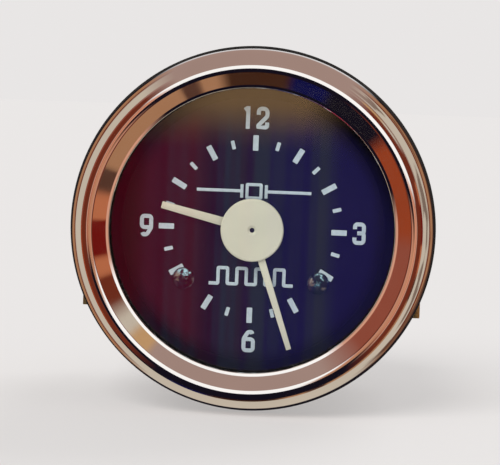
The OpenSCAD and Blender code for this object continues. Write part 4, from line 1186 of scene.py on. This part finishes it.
@dataclass
class ClampGroup:
    """Studs, nuts and the strap that clamps the clock."""

    # Share of the pitch at which the thread has a corner, and share of its depth there.
    THREAD = ((0.45, 1.0), (0.55, 1.0), (0.9, 0.0), (1.0, 0.0))
    # How far a ring of the thumb nut's grip is moved in, and its distance from the collar or the rear end.
    FRONT_EDGE = ((0.55, 0.0), (0.1, 0.3), (0.0, 0.5))
    REAR_EDGE = ((0.0, 0.6), (0.12, 0.32), (0.6, 0.0))

    stud_x: float = 13.0
    stud_drop: float = 8.0
    stud_r: float = 2.0
    stud_end: float = -56.0
    end_chamfer: float = 0.05
    spacer_r: float = 3.0
    plate_front: float = -12.6
    plate_rear: float = -13.8
    back_in: float = -33.3
    back_out: float = -34.0
    pitch: float = 0.7
    thread_depth: float = 0.36
    thread_start: float = 0.3
    thread_stop: float = 0.4
    nut_af: float = 7.0
    nut_t: float = 2.2
    nut_play: float = 0.05
    nut_flat: float = 0.96
    nut_slope: float = 30.0
    nut_chamfer: float = 0.25
    strap_edge: float = 0.18
    bar_rear: float = -44.5
    washer_r: float = 4.0
    washer_t: float = 0.6
    washer_play: float = 0.25
    washer_round: float = 0.08
    washer_turn: float = 351.0
    thumb_r: float = 5.0
    thumb_h: float = 5.0
    thumb_grooves: int = 20
    groove_points: int = 10
    thumb_depth: float = 0.34
    thumb_play: float = 0.04
    thumb_chamfer: Span = (0.4, 0.45)
    thumb_ring: Span = (3.5, 3.3)
    thumb_dish: float = 0.15
    collar_r: float = 3.6
    collar_edge: float = 0.2
    collar_h: float = 1.0

    def build(self) -> None:
        """Makes the studs, the nuts and the strap."""
        places = [(side * self.stud_x, -self.stud_drop) for side in (-1, 1)]
        makers = (self._stud, self._hex_nut, self._washer)
        studs, nuts, washers = (joined(*[make(place) for place in places]) for make in makers)
        strap = node_copy("mounting_bracket", self.strap_edge)
        add_piece("threaded_studs", studs, "bright_steel", "clock_body", ["rear_studs"], crease=60)
        add_piece("hex_nuts", nuts, "bright_steel", "clock_body", ["stud_nuts"], crease=28)
        add_piece("clamp_strap", strap, "yellow_zinc", "bracket_works", ["mounting_bracket"])
        add_piece("split_washers", washers, "bright_steel", "bracket_works", ["lock_washers"])
        for side, place in zip(("left", "right"), places):
            add_piece("knurled_nut_" + side, self._thumb_nut(place), "nut_brass", "nut_" + side,
                      ["thumb_nut_" + side], crease=40)

    def _stud(self, place: Point) -> Mesh:
        """Makes a stud with its spacer inside the can and its thread behind it.

        Args:
            place: where its axis stands.

        Returns:
            The stud as a bmesh.
        """
        tail, root, z = self.stud_r / 2, self.stud_r - self.thread_depth, self.back_out - self.thread_start
        profile: list[Point] = [
            (0, self.plate_front), (tail, self.plate_front), (tail, self.plate_rear),
            (self.spacer_r, self.plate_rear), (self.spacer_r, self.back_in), (self.stud_r, self.back_in),
            (self.stud_r, z),
        ]
        while z - self.pitch > self.stud_end + self.thread_stop:
            profile += [(self.stud_r - sunk * self.thread_depth, z - share * self.pitch)
                        for share, sunk in self.THREAD]
            z -= self.pitch
        chamfer = self.end_chamfer
        profile += [(root, self.stud_end + chamfer), (root - chamfer, self.stud_end), (0, self.stud_end)]
        return lathe(profile, place, steps=48, closed=False)

    def _hex_nut(self, place: Point) -> Mesh:
        """Makes a hexagon nut, chamfered on both faces.

        Args:
            place: where its axis stands.

        Returns:
            The nut as a bmesh.
        """
        half = self.nut_af / 2
        flat, slope = self.nut_flat * half, math.tan(math.radians(self.nut_slope))
        front, rear = self.back_out, self.back_out - self.nut_t
        bore, chamfer = self.stud_r + self.nut_play, self.nut_chamfer

        def edge(a: float) -> float:
            """Returns the hexagon's radius at an angle."""
            return half / math.cos((a + math.pi / 6) % (math.pi / 3) - math.pi / 6)

        levels = [
            (bore, front), (flat, front), (edge, lambda a: front - (edge(a) - flat) * slope),
            (edge, lambda a: rear + (edge(a) - flat) * slope), (flat, rear), (bore + chamfer, rear),
            (bore, rear + chamfer),
        ]
        return ring_loft(levels, place, count=72)

    def _washer(self, place: Point) -> Mesh:
        """Makes a split spring washer.

        Args:
            place: where its axis stands.

        Returns:
            The washer as a bmesh.
        """
        low, high, bore = self.bar_rear - self.washer_t, self.bar_rear, self.stud_r + self.washer_play
        corners = ((bore, low), (self.washer_r, low), (self.washer_r, high), (bore, high))
        section = rounded([(*corner, self.washer_round) for corner in corners], steps=2, closed=True)
        return lathe(section, place, steps=90, turn=math.radians(self.washer_turn))

    def _thumb_nut(self, place: Point) -> Mesh:
        """Makes a knurled thumb nut with a plain collar.

        Args:
            place: where its axis stands.

        Returns:
            The nut as a bmesh.
        """
        grip = fluted(self.thumb_r, self.thumb_depth, self.thumb_grooves, power=1.5)
        front = self.bar_rear - self.washer_t
        rear, collar = front - self.thumb_h, front - self.collar_h
        bore, floor = self.stud_r + self.thumb_play, rear + self.thumb_dish
        levels = [
            (bore, front), (self.collar_r - self.collar_edge, front),
            (self.collar_r, front - self.collar_edge), (self.collar_r, collar),
            *((grip(inset), collar - off) for inset, off in self.FRONT_EDGE),
            *((grip(inset), rear + off) for inset, off in self.REAR_EDGE),
            (self.thumb_ring[0], rear), (self.thumb_ring[1], floor), (bore + self.thumb_chamfer[0], floor),
            (bore, rear + self.thumb_chamfer[1]),
        ]
        return ring_loft(levels, place, self.thumb_grooves * self.groove_points)


@dataclass
class Movement:
    """The pieces that stay as the frame has them and get their finish."""

    def dress(self) -> None:
        """Gives every node of the frame the finish of its slot."""
        for part in frame["record"]["subparts"]:
            shown = frame["nodes"][part["node"]]
            shown.data.materials.clear()
            shown.data.materials.append(SLOT_FINISH[part["material_slot"]].material())
            log.info("%s: %s", part["node"], part["material_slot"])


@dataclass
class Room:
    """Colours of the room in front of the clock, which only polished metal and glass mirror."""

    PALE = (0.81, 0.79, 0.785)
    MAUVE = (0.41, 0.275, 0.23)
    CREAM = (0.62, 0.53, 0.42)
    COPPER = (0.52, 0.16, 0.07)
    TAN = (0.42, 0.2, 0.1)
    RUST = (0.33, 0.055, 0.018)
    BRICK = (0.3, 0.075, 0.045)
    DEEP_RED = (0.17, 0.008, 0.006)
    BROWN = (0.1, 0.04, 0.025)
    NIGHT = (0.008, 0.006, 0.012)
    UMBER = (0.055, 0.018, 0.008)
    MIDNIGHT = (0.006, 0.006, 0.06)
    PINK = (0.76, 0.33, 0.2)
    BLUSH = (0.74, 0.36, 0.24)
    SMOKE = (0.16, 0.075, 0.055)
    SAND = (0.58, 0.34, 0.16)
    RUSSET = (0.17, 0.03, 0.014)
    WINDOW = (1.15, 1.12, 1.08)
    MAROON = (0.95, 0.01, 0.1)
    PLUM = (0.28, 0.03, 0.22)
    NAVY = (0.08, 0.06, 0.62)
    SLATE = (0.2, 0.24, 0.5)
    OCHRE = (1.6, 0.95, 0.45)

    # Degrees in front of the dial's plane, and the colour there.
    ABOVE = ((-90, PALE), (-66, PALE), (-54, MAUVE), (90, MAUVE))
    BELOW = (
        (-90, PALE), (-84, PALE), (-82, NIGHT), (-48, NIGHT), (-43, CREAM), (4, CREAM), (7, NIGHT),
        (90, NIGHT),
    )
    BESIDE = (
        (-90, PALE), (-84, PALE), (-82, NIGHT), (-58, NIGHT), (-54, TAN), (-36, TAN), (-33, RUSSET),
        (-27, RUSSET), (-24, CREAM), (7, CREAM), (10, RUSSET), (34, RUSSET), (38, SMOKE), (46, SMOKE),
        (49, BLUSH), (59, BLUSH), (63, RUST), (70, PINK), (90, TAN),
    )
    # Walls a little in front of the dial's plane, by the hours at which the bezel's inner slope mirrors
    # their two ends, anticlockwise. The gaps between them blend.
    WALLS = (
        (1.6, 0.95, NIGHT), (0.85, 0.5, MIDNIGHT), (0.4, 11.75, UMBER), (11.6, 11.42, TAN),
        (11.38, 11.2, BROWN), (11.15, 9.9, TAN), (9.86, 9.62, BROWN), (9.5, 9.22, COPPER),
        (9.2, 8.76, DEEP_RED), (8.7, 8.5, COPPER), (8.44, 8.12, RUSSET), (7.85, 7.7, CREAM),
        (7.58, 7.36, SAND), (7.28, 4.9, MAUVE), (4.3, 3.0, BRICK), (2.8, 1.8, RUST),
    )
    # Hour at which the slope mirrors the start of the walls' ramp.
    WALL_HOUR = 3
    # Height of the walls' middle, how it grows across and up, and how far from it they fade.
    WALL_AHEAD, WALL_ACROSS, WALL_UP, WALL_FADE = 0.2, 0.04, 0.07, (0.066, 0.056)
    # A window and a dark corner: the hour they lie towards, the spans of agreement with it and of height
    # ahead over which they come in, and their colour.
    PATCHES = ((0.57, (0.4, 0.55), (0.53, 0.58), WINDOW), (7.3, (0.78, 0.88), (0.6, 0.66), NIGHT))
    # Spans over which the ways beside and above the clock come in, from the share of the way across and
    # from the height.
    SIDEWAYS, UPWARDS = (0.28, 0.5), (-0.1, 0.1)
    # Brown blots on the right: their noise, the spans over which they come in, and their strength.
    BLOT_NOISE = {"Scale": 3.2, "Detail": 1.0}
    BLOT_LEVEL, BLOT_AHEAD, BLOT_RIGHT, BLOT_STRENGTH = (0.52, 0.57), (0.06, 0.02), (0.0, 0.2), 0.75
    # Millimetres across the glass, from left to right, and what it mirrors of the room behind the camera.
    BEHIND = (
        (-24, NIGHT), (-20, BROWN), (-17, MAROON), (-10, MAROON), (-7, PLUM), (-2, PLUM), (4, NAVY),
        (19, NAVY), (24, NIGHT),
    )
    BEHIND_MARGIN = 1
    # Spans in millimetres on the glass over which its streaks, its warm glow, its dark rim and the whole of
    # what lies behind the camera come in.
    STREAK_NOISE = {"Scale": 0.4, "Detail": 1.0}
    STREAK_LEVEL, STREAK_LEFT, STREAK_RIGHT = (0.44, 0.56), (-9.0, -6.0), (14.0, 11.0)
    GLOW_LOW, GLOW_RIGHT, GLOW_LEFT, GLOW_HIGH = (15.5, 20.5), (14.0, 8.0), (-16.0, -6.0), (29.0, 25.0)
    GLASS_RIM, GLASS_DISC, GLASS_AHEAD = (19.8, 22.6), (50.0, 46.0), (0.0, 0.1)

    tree: Tree
    eye: Vector
    glass_r: float

    def colour(self) -> Socket:
        """Draws the room.

        Returns:
            Its colour in the direction of the ray.
        """
        way = add_node(self.tree, "TexCoord", {}).outputs["Generated"]
        parts = add_node(self.tree, "SeparateXYZ", {0: way}).outputs
        across, away, up = (Term(self.tree, part) for part in parts)
        ahead = away * -1.0
        room = self._walls(across, ahead, up, self._sides(across, ahead, up))
        reach = ahead * -self.eye.y / (ahead * ahead)
        glass_x, glass_z = across * reach + self.eye.x, up * reach + self.eye.z
        from_middle = (glass_x * glass_x + glass_z * glass_z).apply("SQRT")
        half = self.glass_r + self.BEHIND_MARGIN
        stops = [((x + half) / (2 * half), c) for x, c in self.BEHIND]
        behind = self._ramp(glass_x.span(-half, half), stops)
        behind = mix(self._streaks(glass_x), behind, self.SLATE)
        behind = mix(from_middle.span(*self.GLASS_RIM), behind, self.NIGHT)
        glow = glass_z.span(*self.GLOW_LOW) * glass_x.span(*self.GLOW_RIGHT)
        glow = glow * glass_x.span(*self.GLOW_LEFT) * glass_z.span(*self.GLOW_HIGH)
        behind = mix(glow, behind, self.OCHRE)
        return mix(from_middle.span(*self.GLASS_DISC) * ahead.span(*self.GLASS_AHEAD), room, behind)

    def _streaks(self, glass_x: Term) -> Term:
        """Draws upright streaks in the middle of the glass.

        Args:
            glass_x: millimetres across the glass.

        Returns:
            The share of the streaks' colour.
        """
        noise = add_node(self.tree, "TexNoise", self.STREAK_NOISE)
        noise.noise_dimensions = "1D"
        fill(self.tree, noise, {"W": glass_x})
        level = Term(self.tree, noise.outputs["Fac"]).span(*self.STREAK_LEVEL)
        return level * (glass_x.span(*self.STREAK_LEFT) * glass_x.span(*self.STREAK_RIGHT))

    def _sides(self, across: Term, ahead: Term, up: Term) -> Socket:
        """Draws what lies above, below and beside the clock.

        Args:
            across: the ray's part to the right.
            ahead: its part out of the dial.
            up: its part upwards.

        Returns:
            The colour.
        """
        lift = ahead.span(-1, 1)
        above, below, beside = (
            self._ramp(lift, [((1 + math.sin(math.radians(e))) / 2, c) for e, c in band])
            for band in (self.ABOVE, self.BELOW, self.BESIDE)
        )
        noise = add_node(self.tree, "TexNoise", self.BLOT_NOISE)
        blots = Term(self.tree, noise.outputs["Fac"]).span(*self.BLOT_LEVEL) * ahead.span(*self.BLOT_AHEAD)
        blots = blots * across.span(*self.BLOT_RIGHT) * self.BLOT_STRENGTH
        beside = mix(blots, beside, self.BROWN)
        side = across * across
        share = side / (side + up * up)
        sides = mix(share.span(*self.SIDEWAYS), mix(up.span(*self.UPWARDS), below, above), beside)
        for hour, agreement, height, colour in self.PATCHES:
            patch = self._towards(across, up, hour).span(*agreement) * ahead.span(*height)
            sides = mix(patch, sides, colour)
        return sides

    def _towards(self, across: Term, up: Term, hour: float) -> Term:
        """Compares the ray's way across the dial with an hour's.

        Args:
            across: the ray's part to the right.
            up: its part upwards.
            hour: the hour.

        Returns:
            The agreement, 1 where both are the same.
        """
        turn = math.radians(HOUR_ANGLE * hour)
        along = up * math.cos(turn) + across * math.sin(turn)
        return along / (across * across + up * up).apply("SQRT")

    def _walls(self, across: Term, ahead: Term, up: Term, room: Socket) -> Socket:
        """Adds the walls that the bezel's inner slope mirrors.

        Args:
            across: the ray's part to the right.
            ahead: its part out of the dial.
            up: its part upwards.
            room: colour of the room without them.

        Returns:
            The colour with them.
        """
        turn = up.apply("ARCTAN2", across).span(-math.pi, math.pi)
        ends = [(hour, c) for first, last, c in self.WALLS for hour in (first, last)]
        walls = self._ramp(turn, sorted((((self.WALL_HOUR - hour) / HOURS) % 1, c) for hour, c in ends))
        height = across * self.WALL_ACROSS + up * self.WALL_UP
        off = (ahead - height - self.WALL_AHEAD).apply("ABSOLUTE")
        return mix(off.span(*self.WALL_FADE), room, walls)

    def _ramp(self, value: Term, stops: Sequence[tuple[float, Colour]]) -> Socket:
        """Adds a colour ramp.

        Args:
            value: where on the ramp to look, from 0 to 1.
            stops: place and colour of each stop, in order.

        Returns:
            The colour at the value.
        """
        node = add_node(self.tree, "ValToRGB", {"Fac": value})
        marks = node.color_ramp.elements
        while len(marks) < len(stops):
            marks.new(0.5)
        for mark, (place, colour) in zip(marks, stops):
            mark.position = place
            mark.color = (*colour, 1)
        return node.outputs["Color"]


@dataclass
class Studio:
    """Floor, lamps, world and camera."""

    LIGHT_COLOUR = (1.0, 0.99, 0.98, 1)
    # Name, place in metres, power and colour of each lamp.
    SUNS = (
        ("front_sun", (-0.4, -0.75, 0.8), 1.8, (1.0, 0.99, 0.97)),
        ("rear_sun", (0.5, 0.8, 0.7), 1.2, (0.98, 0.99, 1.0)),
    )

    distance: float = 0.3
    azimuth: float = 2.0
    elevation: float = 4.0
    roll: float = 2.2
    frame_width: float = 82.5
    aim: tuple[float, float, float] = (-0.45, -0.62, -0.6)
    nearest: float = 0.01
    soft_light: float = 0.42
    sun_spread: float = 35.0
    floor_half: float = 30.0
    floor_gap: float = 0.0002
    floor_glow: float = 0.5

    def build(self) -> None:
        """Sets up everything round the clock."""
        scene = bpy.context.scene
        scene.view_settings.view_transform = "Standard"
        self._world(scene)
        self._floor()
        for name, place, power, colour in self.SUNS:
            self._sun(name, place, power, colour)
        self._camera(scene)

    def _world(self, scene: bpy.types.Scene) -> None:
        """Lights the scene softly, shows a pale background and gives the chrome a room to mirror.

        Args:
            scene: the scene that gets the world.
        """
        world = bpy.data.worlds.new("studio_world")
        scene.world = world
        world.use_nodes = True
        world.cycles.sampling_method = "NONE"
        tree = world.node_tree
        path = add_node(tree, "LightPath", {})
        shown = tree.nodes["Background"]
        fill(tree, shown, {"Color": self.LIGHT_COLOUR, "Strength": self.soft_light})
        mirrored = Room(tree, self._eye() / MM, BezelGroup.opening_r).colour()
        for ray in ("Is Camera Ray", "Is Transmission Ray", "Is Glossy Ray"):
            colour = (*Room.PALE, 1) if ray == "Is Camera Ray" else mirrored
            seen = add_node(tree, "Background", {"Color": colour})
            blend = {0: path.outputs[ray], 1: shown.outputs[0], 2: seen.outputs[0]}
            shown = add_node(tree, "MixShader", blend)
        fill(tree, tree.nodes["World Output"], {"Surface": shown.outputs[0]})

    def _floor(self) -> None:
        """Lays a plain pale floor that keeps the clock's shadow."""
        bm = bmesh.new()
        bmesh.ops.create_grid(bm, x_segments=4, y_segments=4, size=self.floor_half)
        bmesh.ops.translate(bm, verts=bm.verts, vec=(0, 0, CAD_BOX[0].z - self.floor_gap))
        mesh = bpy.data.meshes.new("studio_floor")
        bm.to_mesh(mesh)
        bm.free()
        made = bpy.data.materials.new("pale_floor")
        made.use_nodes = True
        tree = made.node_tree
        pale = (*Room.PALE, 1)
        paint = tree.nodes["Principled BSDF"]
        fill(tree, paint, {"Base Color": pale, "Roughness": 1.0, "Specular IOR Level": 0.0})
        glow = add_node(tree, "Emission", {"Color": pale})
        seen = Term(tree, add_node(tree, "LightPath", {}).outputs["Is Camera Ray"])
        blend = {0: seen * self.floor_glow, 1: paint.outputs[0], 2: glow.outputs[0]}
        surface = add_node(tree, "MixShader", blend).outputs[0]
        fill(tree, tree.nodes["Material Output"], {"Surface": surface})
        mesh.materials.append(made)
        floor = bpy.data.objects.new("studio_floor", mesh)
        bpy.context.scene.collection.objects.link(floor)
        floor.visible_glossy = False
        floor.visible_transmission = False

    def _sun(self, name: str, place: tuple[float, float, float], power: float, colour: Colour) -> None:
        """Adds a wide, soft, even light.

        Args:
            name: its name.
            place: where the light comes from.
            power: its strength.
            colour: its colour.
        """
        data = bpy.data.lights.new(name, "SUN")
        data.energy = power
        data.color = colour
        data.angle = math.radians(self.sun_spread)
        lamp = bpy.data.objects.new(name, data)
        lamp.location = place
        lamp.rotation_euler = (-Vector(place)).to_track_quat("-Z", "Y").to_euler()
        lamp.visible_glossy = False
        bpy.context.scene.collection.objects.link(lamp)

    def _eye(self) -> Vector:
        """Works out where the camera stands.

        Returns:
            Its place in metres.
        """
        a, e = math.radians(self.azimuth), math.radians(self.elevation)
        back = Vector((math.sin(a) * math.cos(e), -math.cos(a) * math.cos(e), math.sin(e)))
        return dial_point(*self.aim) + back * self.distance

    def _camera(self, scene: bpy.types.Scene) -> None:
        """Puts the camera where the photograph was taken.

        Args:
            scene: the scene that gets the camera.
        """
        data = bpy.data.cameras.new("front_camera")
        data.lens = data.sensor_width * self.distance / (self.frame_width * MM)
        data.clip_start = self.nearest
        camera = bpy.data.objects.new("front_camera", data)
        camera.location = self._eye()
        ahead = dial_point(*self.aim) - camera.location
        roll = Quaternion((0, 0, 1), math.radians(self.roll))
        camera.rotation_mode = "QUATERNION"
        camera.rotation_quaternion = ahead.to_track_quat("-Z", "Y") @ roll
        scene.collection.objects.link(camera)
        scene.camera = camera


def main() -> None:
    """Dresses the clock and sets the studio up."""
    logging.basicConfig(level=logging.INFO, format="%(name)s %(message)s")
    Movement().dress()
    BezelGroup().build()
    DialGroup().build()
    HandGroup().build()
    CaseGroup().build()
    ClampGroup().build()
    Studio().build()


if __name__ == "__main__":
    main()
